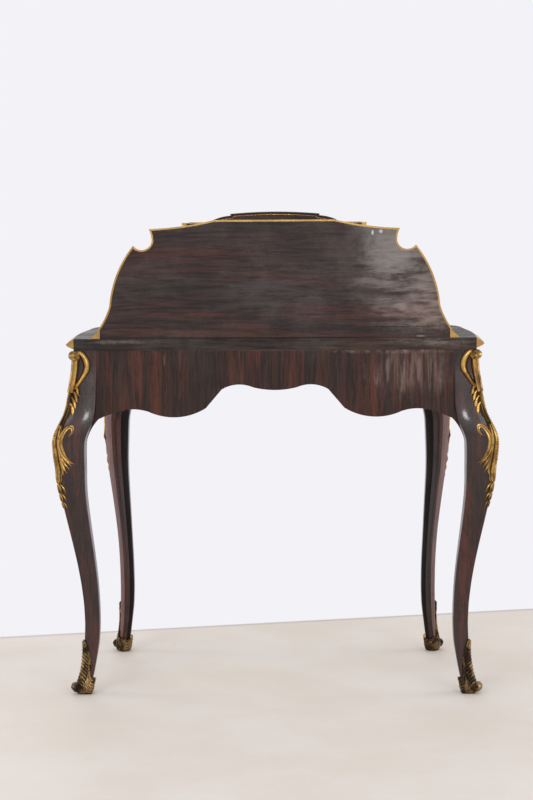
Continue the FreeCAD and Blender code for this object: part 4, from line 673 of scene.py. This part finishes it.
class Relief(Casting):
    def __init__(self, course):
        super().__init__()
        self.course = course

    def ribbon(self, path, widths, relief, ridges=1, count=26, lift=unlifted):
        # a strap that follows (height, across) points; widths and lift are tables over its length, 0 to 1
        spine = smoothPath(path, count)
        rings, recess = [], []
        for index, spot in enumerate(spine):
            way = spine[min(index + 1, count - 1)] - spine[max(index - 1, 0)]
            way = way / (np.linalg.norm(way) or 1.0)
            square = np.array((-way[1], way[0]))
            along = index / (count - 1)
            width, raised = eased(along, widths), eased(along, lift)
            ring, depths = [], []
            for step in range(9):
                share = -1 + step / 4
                crown = math.sqrt(max(0.0, 1 - share * share))
                ridge = 0.5 - 0.5 * math.cos(math.pi * (share + 1) * ridges)
                high = relief * crown * (reliefLook["flat"] + reliefLook["ridge"] * ridge)
                thinned = min(1.0, width / reliefLook["ribbonThin"])
                at = spot + square * width * share
                ring.append(self.course.onSkin(at[0], at[1], high * thinned + raised))
                rim = reliefLook["rimDark"] if step in (0, 8) else 0.0
                depths.append(min(1.0, reliefLook["ridgeDark"] * (1 - ridge) + rim))
            for share in (0.6, 0.0, -0.6):
                at = spot + square * width * share
                ring.append(self.course.onSkin(at[0], at[1], raised * 0.5 - reliefLook["ribbonSunk"]))
                depths.append(1.0)
            rings.append(ring)
            recess.append(depths)
        self.tube(rings, recess)

    def leaf(self, top, bottom, outline, relief, teeth=5, veins=1.5, dark=0.0, rows=56, lift=unlifted,
             barbs=0.8):
        # an acanthus leaf astride the arris: lengthwise folds and a toothed edge
        look = reliefLook
        rings, recess = [], []
        columns = 17
        for row in range(rows + 1):
            along = row / rows
            width, raised = eased(along, outline), eased(along, lift)
            gap = 1 - (along * teeth) % 1.0
            ring, depths = [], []
            for step in range(columns):
                share = -1 + 2 * step / (columns - 1)
                edge = max(0.0, abs(share) - look["edge"]) / (1 - look["edge"])
                across = share * width * (1 - look["toothDeep"] * edge * gap ** 2)
                fold = 0.5 + 0.5 * math.cos(2 * math.pi * (abs(share) * veins - along * barbs))
                crown = math.sqrt(max(0.0, 1 - share * share))
                midrib = math.exp(-(share / look["midribWide"]) ** 2)
                high = crown * (look["flat"] + look["ridge"] * fold) * (1 - look["toothThin"] * edge * gap)
                high = relief * (high + look["midribHigh"] * midrib) * min(1.0, width / look["leafThin"])
                height = top + (bottom - top) * along - abs(share) * width * look["droop"]
                ring.append(self.course.onSkin(height, across, high + raised))
                folded = look["foldDark"] * (1 - fold) * (1 - midrib)
                depths.append(min(1.0, dark + folded + look["toothDark"] * edge * gap))
            for share in (0.7, 0.0, -0.7):
                height = top + (bottom - top) * along - abs(share) * width * look["droop"]
                ring.append(self.course.onSkin(height, share * width, raised * 0.5 - look["leafSunk"]))
                depths.append(1.0)
            rings.append(ring)
            recess.append(depths)
        self.tube(rings, recess)

    def strap(self, top, way, look):
        # a ribbon on one face: its path is given as drops below its top and distances from the arris
        path = [(top - drop, way * across) for drop, across in look["path"]]
        self.ribbon(path, look["widths"], look["proud"], look.get("ridges", 1), look["count"],
                    look.get("lift", unlifted))


chuteLook = {
    "headHigh": 0.7155, "headRadius": 0.0105, "headHalf": 0.011, "headProud": 0.003, "headLobes": 5,
    "stem": {"path": ((-0.002, 0.0), (0.020, 0.0), (0.0535, 0.0), (0.0755, 0.0)),
             "widths": ((0, 0.00943), (0.35, 0.0082), (1, 0.00656)), "proud": 0.0098, "ridges": 2, "count": 26},
    "loop": {"path": ((-0.006, 0.003), (-0.004, 0.012), (0.010, 0.0216), (0.028, 0.024), (0.046, 0.01728),
                      (0.0675, 0.006)),
             "widths": ((0, 0.00612), (0.5, 0.00782), (1, 0.00544)), "proud": 0.0075, "count": 36},
    # leaflets fall away from the foot of the stem, each shorter than the one above
    "tuftTop": 0.657, "leaflets": 4, "leafletPitch": 0.0130, "leafletTip": (0.025, 0.0205), "leafletShrink": 0.0012,
    "leaflet": {"path": ((0.0, 0.003), (0.008, 0.0095), (0.020, 0.0150)),
                "widths": ((0, 0.0026), (0.5, 0.0046), (1, 0.0010)), "proud": 0.0052, "count": 16,
                "lift": ((0, 0.0012), (1, 0.0030))},
    # astride the arris: under the stem, between stem and knee, and the knee's broad leaf
    "leaves": (
        {"top": 0.651, "bottom": 0.579, "outline": ((0, 0.004), (0.25, 0.010), (0.65, 0.014), (1, 0.010)),
         "relief": 0.0046, "teeth": 7, "veins": 2.0, "dark": 0.45},
        {"top": 0.593, "bottom": 0.558, "outline": ((0, 0.008), (0.5, 0.013), (1, 0.011)),
         "relief": 0.0042, "teeth": 5, "veins": 2.0, "dark": 0.5, "rows": 24},
        {"top": 0.574, "bottom": 0.448,
         "outline": ((0, 0.010), (0.2, 0.0150), (0.5, 0.0170), (0.72, 0.0185), (0.88, 0.011), (1, 0.001)),
         "relief": 0.0062, "teeth": 5, "veins": 2.4, "dark": 0.10, "rows": 72}),
    # an open scroll on each face of the knee, with three barbs under it
    "kneeTop": 0.570,
    "scroll": {"path": ((0.019, 0.0285), (0.011, 0.0325), (0.002, 0.0285), (0.002, 0.0195), (0.018, 0.0135),
                        (0.040, 0.0125), (0.058, 0.0175), (0.070, 0.0265), (0.077, 0.0375)),
               "widths": ((0, 0.0020), (0.12, 0.0036), (0.4, 0.0066), (0.7, 0.0072), (0.88, 0.0042), (1, 0.0009)),
               "proud": 0.0078, "ridges": 2, "count": 56,
               "lift": ((0, 0.0022), (0.25, 0.0), (0.8, 0.0), (1, 0.0026))},
    "barbTips": ((0.0815, 0.0315), (0.0885, 0.0260), (0.0965, 0.0200)), "barbPitch": 0.007,
    "barbRoot": (0.058, 0.012), "barbMiddle": (0.071, 0.72),
    "barb": {"widths": ((0, 0.0034), (0.5, 0.0040), (1, 0.0008)), "proud": 0.0054, "count": 14,
             "lift": ((0, 0.0), (1, 0.0022))},
    # bellflowers, each smaller than the one above: place along their fall, and size
    "huskTop": 0.452, "huskLow": 0.394, "husks": ((0.0, 1.0), (0.36, 0.82), (0.68, 0.64)),
    "huskRise": 0.003, "huskLong": 0.024, "huskWide": 0.0066, "huskFoot": 0.0046, "huskProud": 0.0050,
    "petalRoot": (0.0, 0.001), "petalTips": ((0.009, 0.0080), (0.020, 0.0112)), "petalWide": 0.0036,
    "petalProud": 0.0040, "petalLift": ((0, 0.0), (1, 0.0022)),
}


def buildChute(course, look):
    relief = Relief(course)
    head = look["headHigh"]
    corner = Vector((course.side, course.facing, 0)).normalized()
    beside = Vector((-course.facing, course.side, 0)).normalized()
    hub = course.onSkin(head, 0.0, look["headProud"])
    relief.roll(hub, corner, beside, look["headRadius"], look["headHalf"], look["headLobes"])
    relief.strap(head, 1, look["stem"])
    drop, reach = look["leafletTip"]
    for way in (1, -1):
        relief.strap(head, way, look["loop"])
        for step in range(look["leaflets"]):
            path = (*look["leaflet"]["path"], (drop, reach - step * look["leafletShrink"]))
            relief.strap(look["tuftTop"] - step * look["leafletPitch"], way, {**look["leaflet"], "path": path})
    for leaf in look["leaves"]:
        relief.leaf(**leaf)
    root, middle = look["barbRoot"], look["barbMiddle"]
    for way in (1, -1):
        relief.strap(look["kneeTop"], way, look["scroll"])
        for step, (drop, reach) in enumerate(look["barbTips"]):
            lower = step * look["barbPitch"]
            path = ((root[0] + lower, root[1]), (middle[0] + lower, reach * middle[1]), (drop, reach))
            relief.strap(look["kneeTop"], way, {**look["barb"], "path": path})
    for share, size in look["husks"]:
        start = look["huskTop"] - (look["huskTop"] - look["huskLow"]) * share
        outline = ((0, 0.002), (0.35, look["huskWide"] * size), (0.8, look["huskFoot"] * size), (1, 0.0006))
        relief.leaf(start + look["huskRise"], start - look["huskLong"] * size, outline, look["huskProud"] * size,
                    teeth=2, veins=1.0, dark=0.25, rows=20)
        petal = {
            "path": (look["petalRoot"], *((drop * size, across * size) for drop, across in look["petalTips"])),
            "widths": ((0, 0.0012), (0.5, look["petalWide"] * size), (1, 0.0005)),
            "proud": look["petalProud"] * size, "count": 12, "lift": look["petalLift"]}
        for way in (1, -1):
            relief.strap(start, way, petal)
    return relief


sabotLook = {
    # share of the way round from the outer arris to the inner one, and the rim's height there
    "rim": ((0.0, 0.114), (0.08, 0.104), (0.27, 0.084), (0.35, 0.062), (0.42, 0.042), (0.5, 0.036), (1.0, 0.030)),
    "rows": 66, "flatPoints": 6, "girthHigh": 0.06,
    "wall": 0.0012, "bulge": 0.0036, "bulgeHigh": 0.036, "bulgePower": 0.7,
    "ribDark": 0.42, "footDark": 0.3, "footHigh": 0.004,
    # the underside is turned in below this height, and closed
    "turnIn": 0.0022, "turnInHigh": 0.005, "closeIn": 0.0012, "low": 0.0004,
    "teeth": 13.0, "toothHeight": 0.0060, "toothFade": 0.4, "plain": 0.04,
    "ribPitch": 0.0062, "ribSlope": 0.065, "ribProud": 0.0010, "ribHigh": 0.01, "ribStart": 5,
    # the rim curls outward over its last share, most beside the outer arris
    "curl": 0.0046, "curlFrom": 0.72, "curlSpan": 0.078, "curlLeast": 0.35, "curlFade": 4,
    "leaf": {"top": 0.116, "bottom": 0.012,
             "outline": ((0, 0.0015), (0.1, 0.0062), (0.35, 0.0120), (0.8, 0.0150), (1, 0.0120)),
             "relief": 0.0036, "teeth": 15, "veins": 1.3, "dark": 0.16, "rows": 120, "barbs": 15,
             "lift": ((0, 0.0030), (0.12, 0.0016), (0.6, 0.0014), (1, 0.0040))},
    "toeRadius": 0.0112, "toeHalf": 0.0125, "toeOut": 0.0190, "toeHigh": 0.0150, "toeLobes": 6,
    "toeWay": {"rear": 60.0, "front": 37.0},
    # the toe's core: share of its radius and of its width, and how much higher it sits
    "coreRadius": 0.62, "coreHalf": 1.22, "coreUp": 0.001,
    "heel": 0.030, "heelOut": 0.003, "heelRadius": 0.0042, "heelHalf": 0.008,
}


def buildSabot(course, row, look):
    sabot = Relief(course)
    course.flatPoints = look["flatPoints"]
    outline = course.section(look["girthHigh"])
    count = len(outline)
    girth = [0.0]
    for a, b in zip(outline, outline[1:] + outline[:1]):
        girth.append(girth[-1] + float(np.linalg.norm(b - a)))
    rings, recess = [], []
    for line in range(look["rows"] + 2):
        along = min(line, look["rows"]) / look["rows"]
        closing = line > look["rows"]
        ring, depths = [], []
        for step in range(count):
            # 0 at the outer arris, 1 at the inner one
            away = 2 * min(girth[step], girth[-1] - girth[step]) / girth[-1]
            tooth = (away * look["teeth"]) % 1.0
            rim = eased(away, look["rim"])
            if look["plain"] < away < 1 - look["plain"]:
                rim -= look["toothHeight"] * tooth * (1 - look["toothFade"] * away)
            height = max(look["low"], rim * along)
            belly = math.sin(math.pi * min(1.0, height / look["bulgeHigh"])) ** look["bulgePower"]
            phase = (height + away * look["ribSlope"]) * 2 * math.pi / look["ribPitch"]
            rib = 0.5 + 0.5 * math.cos(phase) * min(1.0, away * look["ribStart"])
            curl = look["curl"] * max(0.0, along - look["curlFrom"]) ** 2 / look["curlSpan"]
            curl *= look["curlLeast"] + (1 - look["curlLeast"]) * max(0.0, 1 - away * look["curlFade"])
            ribbed = look["ribProud"] * rib * min(1.0, height / look["ribHigh"])
            proud = look["wall"] + look["bulge"] * belly + ribbed + curl
            proud -= look["turnIn"] * max(0.0, 1 - height / look["turnInHigh"]) ** 2
            if closing:
                proud = -look["closeIn"]
            base = max(height, course.low)
            ring.append(course.place(base, course.section(base, proud)[step], height))
            # darker between the ribs and at the foot: dirt and painted shade
            foot = max(0.0, 1 - height / look["footHigh"])
            depths.append(min(1.0, look["ribDark"] * (1 - rib) + look["footDark"] * foot))
        rings.append(ring)
        recess.append(depths)
    sabot.tube(rings, recess)
    course.flatPoints = legLook["flatPoints"]
    sabot.leaf(**look["leaf"])
    # the toe, rolled up across the way that the foot points
    up = Vector((0, 0, 1))
    turn = math.radians(look["toeWay"][row])
    way = Vector((course.side * math.sin(turn), course.facing * math.cos(turn), 0.0))
    hub = course.place(course.low, (0.0, 0.0), look["toeHigh"]) + way * look["toeOut"]
    sabot.roll(hub, way, way.cross(up), look["toeRadius"], look["toeHalf"], look["toeLobes"], sides=28)
    sabot.roll(hub + up * look["coreUp"], way, way.cross(up), look["toeRadius"] * look["coreRadius"],
               look["toeHalf"] * look["coreHalf"], 0, sides=18)
    # the heel's leaf curls outward at the inner corner
    heelWay = Vector((-course.side, -course.facing, 0.0)).normalized()
    spot = course.place(look["heel"], course.section(look["heel"])[count // 2]) + heelWay * look["heelOut"]
    sabot.roll(spot, heelWay, heelWay.cross(up), look["heelRadius"], look["heelHalf"], 3, sides=14)
    return sabot


for row in ("rear", "front"):
    chutes, sabots = Casting(), Casting()
    for hand in ("right", "left"):
        chutes.take(buildChute(legCourses[f"{row}_{hand}"], chuteLook))
        sabots.take(buildSabot(legCourses[f"{row}_{hand}"], row, sabotLook))
    chutes.build(row + "CastChutes", giltCast, "table", (row + "_chutes",), "gilt_bronze")
    sabots.build(row + "CastSabots", agedCast, "table", (row + "_sabots",), "aged_bronze")
print("chutes and sabots cast")


# what follows a path: round mouldings swept along it, and beads set on it at a pitch
def pathTree(name, numbers):
    tree = bpy.data.node_groups.new(name, "GeometryNodeTree")
    tree.interface.new_socket("Paths", in_out="INPUT", socket_type="NodeSocketGeometry")
    for label, value in numbers.items():
        tree.interface.new_socket(label, in_out="INPUT", socket_type="NodeSocketFloat").default_value = value
    tree.interface.new_socket("Material", in_out="INPUT", socket_type="NodeSocketMaterial")
    tree.interface.new_socket("Pieces", in_out="OUTPUT", socket_type="NodeSocketGeometry")
    make = Shader(tree)
    given = make.put("NodeGroupInput").outputs
    curve = make.put("GeometryNodeMeshToCurve", {"Mesh": given["Paths"]}).outputs["Curve"]
    return make, given, curve


def spaced(make, curve, length):
    return make.put("GeometryNodeResampleCurve", {"Curve": curve, "Length": length}, mode="LENGTH").outputs["Curve"]


def closeTree(make, given, geometry):
    real = make.put("GeometryNodeRealizeInstances", {"Geometry": geometry}).outputs["Geometry"]
    soft = make.put("GeometryNodeSetShadeSmooth", {"Geometry": real}).outputs["Geometry"]
    finished = make.put("GeometryNodeSetMaterial", {"Geometry": soft, "Material": given["Material"]})
    make.give(make.put("NodeGroupOutput").inputs["Pieces"], finished.outputs["Geometry"])
    return make.tree


make, given, curve = pathTree("beadRun", {"Pitch": 0.006, "Radius": 0.002})
spots = spaced(make, curve, given["Pitch"])
bead = make.put("GeometryNodeMeshUVSphere", {"Segments": 10, "Rings": 6, "Radius": given["Radius"]}).outputs["Mesh"]
beads = make.put("GeometryNodeInstanceOnPoints", {"Points": spots, "Instance": bead}).outputs["Instances"]
beadRun = closeTree(make, given, beads)

make, given, curve = pathTree("roundMoulding", {"Radius": 0.0015, "Step": 0.004})
even = spaced(make, curve, given["Step"])
girth = make.put("GeometryNodeCurvePrimitiveCircle", {"Resolution": 10, "Radius": given["Radius"]}).outputs["Curve"]
swept = make.put("GeometryNodeCurveToMesh", {"Curve": even, "Profile Curve": girth, "Fill Caps": True})
roundMoulding = closeTree(make, given, swept.outputs["Mesh"])


def followPaths(name, tree, paths, sizes, material, body, closed=True):
    # paths: runs of points; sizes: values of the tree's named inputs
    points, edges = [], []
    for path in paths:
        start = len(points)
        points.extend(tuple(p) for p in path)
        last = len(path) if closed else len(path) - 1
        edges.extend((start + step, start + (step + 1) % len(path)) for step in range(last))
    mesh = bpy.data.meshes.new(name + "Path")
    mesh.from_pydata(points, edges, [])
    guide = linked(name + "Path", mesh)
    maker = guide.modifiers.new("follow", "NODES")
    maker.node_group = tree
    sockets = {item.name: item.identifier for item in tree.interface.items_tree if item.in_out == "INPUT"}
    for label, value in {**sizes, "Material": material}.items():
        maker[sockets[label]] = value
    bpy.context.view_layer.update()
    made = bpy.data.meshes.new_from_object(guide.evaluated_get(bpy.context.evaluated_depsgraph_get()))
    bpy.data.objects.remove(guide)
    made.name = name
    turnOutward(made)
    made.set_sharp_from_angle(angle=math.radians(50))
    piece = linked(name, made)
    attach(piece, body)


def gildRound(name, paths, radius, step, body):
    # a round gilt moulding along closed paths
    followPaths(name, roundMoulding, paths, {"Radius": radius, "Step": step}, giltPlain, body)


def gildBeads(name, paths, pitch, radius, body, closed=True):
    followPaths(name, beadRun, paths, {"Pitch": pitch, "Radius": radius}, giltPlain, body, closed)


def faceLoops(name, way, level=None, likeness=0.85, nearby=2e-4):
    # closed borders of a node's faces that look one way, the longest first; level picks one plane
    way = Vector(way)
    work = bmesh.new()
    work.from_mesh(nodes[name].data)
    bmesh.ops.remove_doubles(work, verts=work.verts, dist=nearby / 10)
    work.verts.index_update()
    work.faces.index_update()
    chosen = []
    for face in work.faces:
        inPlane = level is None or abs(face.calc_center_median().dot(way) - level) < nearby
        chosen.append(inPlane and face.normal.dot(way) > likeness)
    onward = {}
    for face in work.faces:
        for loop in face.loops if chosen[face.index] else ():
            if sum(chosen[other.index] for other in loop.edge.link_faces) == 1:
                onward[loop.vert.index] = (loop.link_loop_next.vert.index, loop.vert.co.copy())
    loops = []
    while onward:
        start, (after, spot) = onward.popitem()
        run = [spot]
        while after in onward:
            after, spot = onward.pop(after)
            run.append(spot)
        if after == start and len(run) > 3:
            loops.append(run)
    work.free()
    return sorted(loops, key=lambda run: -sum((a - b).length for a, b in zip(run, run[1:] + run[:1])))


def insetLoop(loop, distance, way):
    # the same border, moved in by a distance across its own plane; points on straight runs are dropped
    way = Vector(way)
    kept = [spot for before, spot, after in zip(loop[-1:] + loop, loop, loop[1:] + loop[:1])
            if (spot - before).normalized().angle((after - spot).normalized(), 0.0) > 0.004]
    moved = []
    for before, spot, after in zip(kept[-1:] + kept, kept, kept[1:] + kept[:1]):
        first = way.cross(spot - before).normalized()
        second = way.cross(after - spot).normalized()
        middle = (first + second).normalized()
        moved.append(spot + middle * distance / max(0.3, middle.dot(first)))
    return moved


def wavedLoop(loop, waves, swing, way, count):
    # a border that winds from side to side about a loop
    way = Vector(way)
    lengths = [0.0]
    for spot, after in zip(loop, loop[1:] + loop[:1]):
        lengths.append(lengths[-1] + (after - spot).length)
    wound = []
    for step in range(count):
        along = lengths[-1] * step / count
        index = max(k for k, length in enumerate(lengths[:-1]) if length <= along)
        spot, after = loop[index], loop[(index + 1) % len(loop)]
        onward = (after - spot).normalized()
        side = way.cross(onward) * swing * math.sin(2 * math.pi * waves * step / count)
        wound.append(spot + onward * (along - lengths[index]) + side)
    return wound


# pearls down the arris of each leg
pearlLook = {"radius": 0.0019, "pitch": 0.0052, "proud": 0.0074, "top": 0.640, "low": 0.500, "steps": 24}
fall = (pearlLook["low"] - pearlLook["top"]) / pearlLook["steps"]
heights = [pearlLook["top"] + fall * step for step in range(pearlLook["steps"] + 1)]
for row in ("rear", "front"):
    strings = [[legCourses[f"{row}_{hand}"].onSkin(height, 0.0, pearlLook["proud"]) for height in heights]
               for hand in ("right", "left")]
    gildBeads(row + "Pearls", strings, pearlLook["pitch"], pearlLook["radius"], "table", closed=False)

# bronze frames on the drawers and the door
frameLook = {
    "drawerInset": 0.0055, "drawerRadius": 0.0013, "friezeInset": 0.0065, "friezeRadius": 0.0016, "doorPlane": -0.0415,
    "doorRadius": 0.0019, "doorBeadGap": 0.0044, "doorBeadRadius": 0.0014, "doorBeadPitch": 0.0036, "step": 0.004,
}
front, back, up = (0, -1, 0), (0, 1, 0), (0, 0, 1)
for level in ("upper", "lower"):
    for hand in ("right", "left"):
        loop = insetLoop(faceLoops(f"{level}_drawer_{hand}", front)[0], frameLook["drawerInset"], front)
        gildRound(f"{level}DrawerFrame_{hand}", [loop], frameLook["drawerRadius"], frameLook["step"],
                  f"{level}_{hand}_drawer")
loop = insetLoop(faceLoops("frieze_drawer_front", front)[0], frameLook["friezeInset"], front)
gildRound("friezeDrawerFrame", [loop], frameLook["friezeRadius"], frameLook["step"], "frieze_drawer")
fieldLoop = faceLoops("cupboard_door", front, level=frameLook["doorPlane"])[1]
gildRound("doorFrame", [fieldLoop], frameLook["doorRadius"], frameLook["step"], "door")
gildBeads("doorBeads", [insetLoop(fieldLoop, frameLook["doorBeadGap"], front)], frameLook["doorBeadPitch"],
          frameLook["doorBeadRadius"], "door")

# the pediment's edge is moulded, with a gilt line inside it, on both of its faces
edgeLook = {"inset": 0.0016, "radius": 0.0016, "lineInset": 0.0062, "lineRadius": 0.0009, "step": 0.004}
for word, way in (("Front", front), ("Rear", back)):
    loop = faceLoops("pediment", way)[0]
    followPaths("pedimentEdge" + word, roundMoulding, [insetLoop(loop, edgeLook["inset"], way)],
                {"Radius": edgeLook["radius"], "Step": edgeLook["step"]}, caseWood, "table")
    gildRound("pedimentLine" + word, [insetLoop(loop, edgeLook["lineInset"], way)], edgeLook["lineRadius"],
              edgeLook["step"], "table")
print("pearls and bronze frames follow their paths")

# rims and engraved lines of the plates
plateLook = {"rimInset": 0.0009, "rimRadius": 0.0009, "lineInset": 0.0034, "lineRadius": 0.00045, "step": 0.0015}
for name, owner, pieces in (("handle_plates", "frieze_drawer", 2), ("frieze_escutcheon", "frieze_drawer", 1),
                            ("door_escutcheon", "door", 1)):
    loops = faceLoops(name, front)[:pieces]
    for word in ("rim", "line"):
        paths = [insetLoop(loop, plateLook[word + "Inset"], front) for loop in loops]
        gildRound(name + word.capitalize(), paths, plateLook[word + "Radius"], plateLook["step"], owner)

# gilt tooling round the leather: two lines, a winding stem between them, and a dot in each bend
toolLook = {
    "outer": 0.0065, "inner": 0.0185, "middle": 0.0125, "waves": 110, "wavePoints": 12, "swing": 0.0034,
    "line": 0.00055, "step": 0.003, "thin": 0.0004, "thinStep": 0.0015, "dot": 0.0016, "dotSwing": 0.00119,
    "sunk": 0.0011,
}
skin = faceLoops("writing_leather", up)[0]
lines = [insetLoop(skin, toolLook[word], up) for word in ("outer", "inner")]
gildRound("toolLines", lines, toolLook["line"], toolLook["step"], "table")
middle, waves = insetLoop(skin, toolLook["middle"], up), toolLook["waves"]
stem, dots = (wavedLoop(middle, waves, swing, up, waves * toolLook["wavePoints"])
              for swing in (toolLook["swing"], -toolLook["dotSwing"]))
gildRound("toolStem", [stem], toolLook["thin"], toolLook["thinStep"], "table")
dots = [spot - Vector(up) * toolLook["sunk"] for spot in dots]
reach = sum((a - b).length for a, b in zip(dots, dots[1:] + dots[:1]))
gildBeads("toolDots", [dots], reach / (waves * 2), toolLook["dot"], "table")
print("plates rimmed, leather tooled")


# stage, light and camera
stageLook = {
    "floor": colour(237, 227, 214), "floorLight": colour(243, 236, 227), "seamShade": colour(150, 140, 132),
    "backdrop": colour(243, 242, 247), "reach": 12.0, "rough": 0.7,
    # the seam of floor and backdrop: its place, how much it slants, its softness, and the painted shade along the
    # crease before it
    "seam": -0.49, "seamSlant": 0.24, "seamSoft": 0.006, "seamShadeFrom": 0.03, "seamShadeTo": 0.004, "seamShadeDark": 0.4,
    "worldLevel": 0.64,
    # place, target, diameter and power
    "lamps": {
        "key": ((2.2, 4.2, 3.4), (0, 0, 0.6), 2.6, 50.0),
        "spark": ((0.0, 4.6, 1.95), (0, 0, 0.6), 0.5, 22.0),
        "sideRight": ((3.6, -0.5, 0.85), (0, 0, 0.5), 1.4, 24.0),
        "sideLeft": ((-3.6, -0.5, 0.85), (0, 0, 0.5), 1.4, 24.0),
        "fill": ((-2.4, 4.2, 1.7), (0, 0, 0.6), 2.2, 38.0),
        "front": ((0.6, -4.0, 3.2), (0, 0, 0.6), 3.0, 36.0),
    },
}


def plainRays(shader):
    # 1 for the rays that see the backdrop as it is written
    path = shader.put("ShaderNodeLightPath").outputs
    seen = shader.math("MAXIMUM", path["Is Glossy Ray"], path["Is Transmission Ray"])
    return shader.math("MAXIMUM", path["Is Camera Ray"], seen)


def buildStage(look):
    reach = look["reach"]
    mesh = bpy.data.meshes.new("floor")
    corners = [(-reach, -reach, 0), (reach, -reach, 0), (reach, reach, 0), (-reach, reach, 0)]
    mesh.from_pydata(corners, [], [(0, 1, 2, 3)])
    floor = linked("floor", mesh)
    material, shader, surface, place = newMaterial("paleFloor")
    ways = shader.put("ShaderNodeSeparateXYZ", {0: place}).outputs
    along = shader.math("SUBTRACT", ways["Y"], shader.math("MULTIPLY", ways["X"], look["seamSlant"]))
    mottle = shader.noise(place, 3.0, 6.0, 0.6)
    seam = shader.range(along, look["seam"] - look["seamSoft"], look["seam"] + look["seamSoft"])
    # a band of painted shade on the floor just before the seam
    seamShade = shader.range(along, look["seam"] + look["seamShadeFrom"], look["seam"] + look["seamShadeTo"])
    seamShade = shader.math("MULTIPLY", shader.math("MULTIPLY", seam, seamShade), look["seamShadeDark"])
    pale = shader.mix(shader.range(mottle, 0.3, 0.7), look["floor"], look["floorLight"])
    pale = shader.mix(seamShade, pale, look["seamShade"])
    shader.give(surface.inputs["Base Color"], shader.mix(seam, look["backdrop"], pale))
    surface.inputs["Roughness"].default_value = look["rough"]
    plain = shader.put("ShaderNodeEmission", {"Color": look["backdrop"], "Strength": 1.0})
    beyond = shader.math("MULTIPLY", plainRays(shader), shader.math("SUBTRACT", 1.0, seam))
    mixed = shader.put("ShaderNodeMixShader", {0: beyond, 1: surface.outputs[0], 2: plain.outputs[0]})
    output = material.node_tree.nodes["Material Output"]
    shader.give(output.inputs["Surface"], mixed.outputs[0])
    mesh.materials.append(material)


def buildWorld(look):
    world = bpy.data.worlds.new("studio")
    world.use_nodes = True
    bpy.context.scene.world = world
    shader = Shader(world.node_tree)
    background = world.node_tree.nodes["Background"]
    background.inputs["Color"].default_value = look["backdrop"]
    strength = shader.range(plainRays(shader), 0.0, 1.0, (look["worldLevel"], 1.0), smooth=False)
    shader.give(background.inputs["Strength"], strength)


def areaLamp(name, place, target, size, power):
    lamp = bpy.data.lights.new(name, "AREA")
    lamp.shape, lamp.size, lamp.energy = "DISK", size, power
    thing = linked(name, lamp)
    thing.location = place
    thing.visible_camera = False
    thing.rotation_euler = (Vector(target) - Vector(place)).to_track_quat("-Z", "Y").to_euler()


buildStage(stageLook)
buildWorld(stageLook)
for name, settings in stageLook["lamps"].items():
    areaLamp(name, *settings)

cameraLook = {
    "eye": (-0.03749, 4.20077, 1.01738), "pitch": 0.09917, "yaw": 0.013892, "roll": -0.005353, "lens": 86.985,
}


def buildCamera(look):
    lens = bpy.data.cameras.new("camera")
    lens.sensor_fit, lens.sensor_height, lens.lens = "VERTICAL", 36.0, look["lens"]
    camera = linked("camera", lens)
    turn = Matrix.Rotation(math.pi + look["yaw"], 4, "Z") @ Matrix.Rotation(math.pi / 2 - look["pitch"], 4, "X")
    camera.matrix_world = Matrix.Translation(look["eye"]) @ turn @ Matrix.Rotation(look["roll"], 4, "Z")
    bpy.context.scene.camera = camera


buildCamera(cameraLook)
bpy.context.scene.view_settings.view_transform = "Standard"
print("stage, light and camera set")
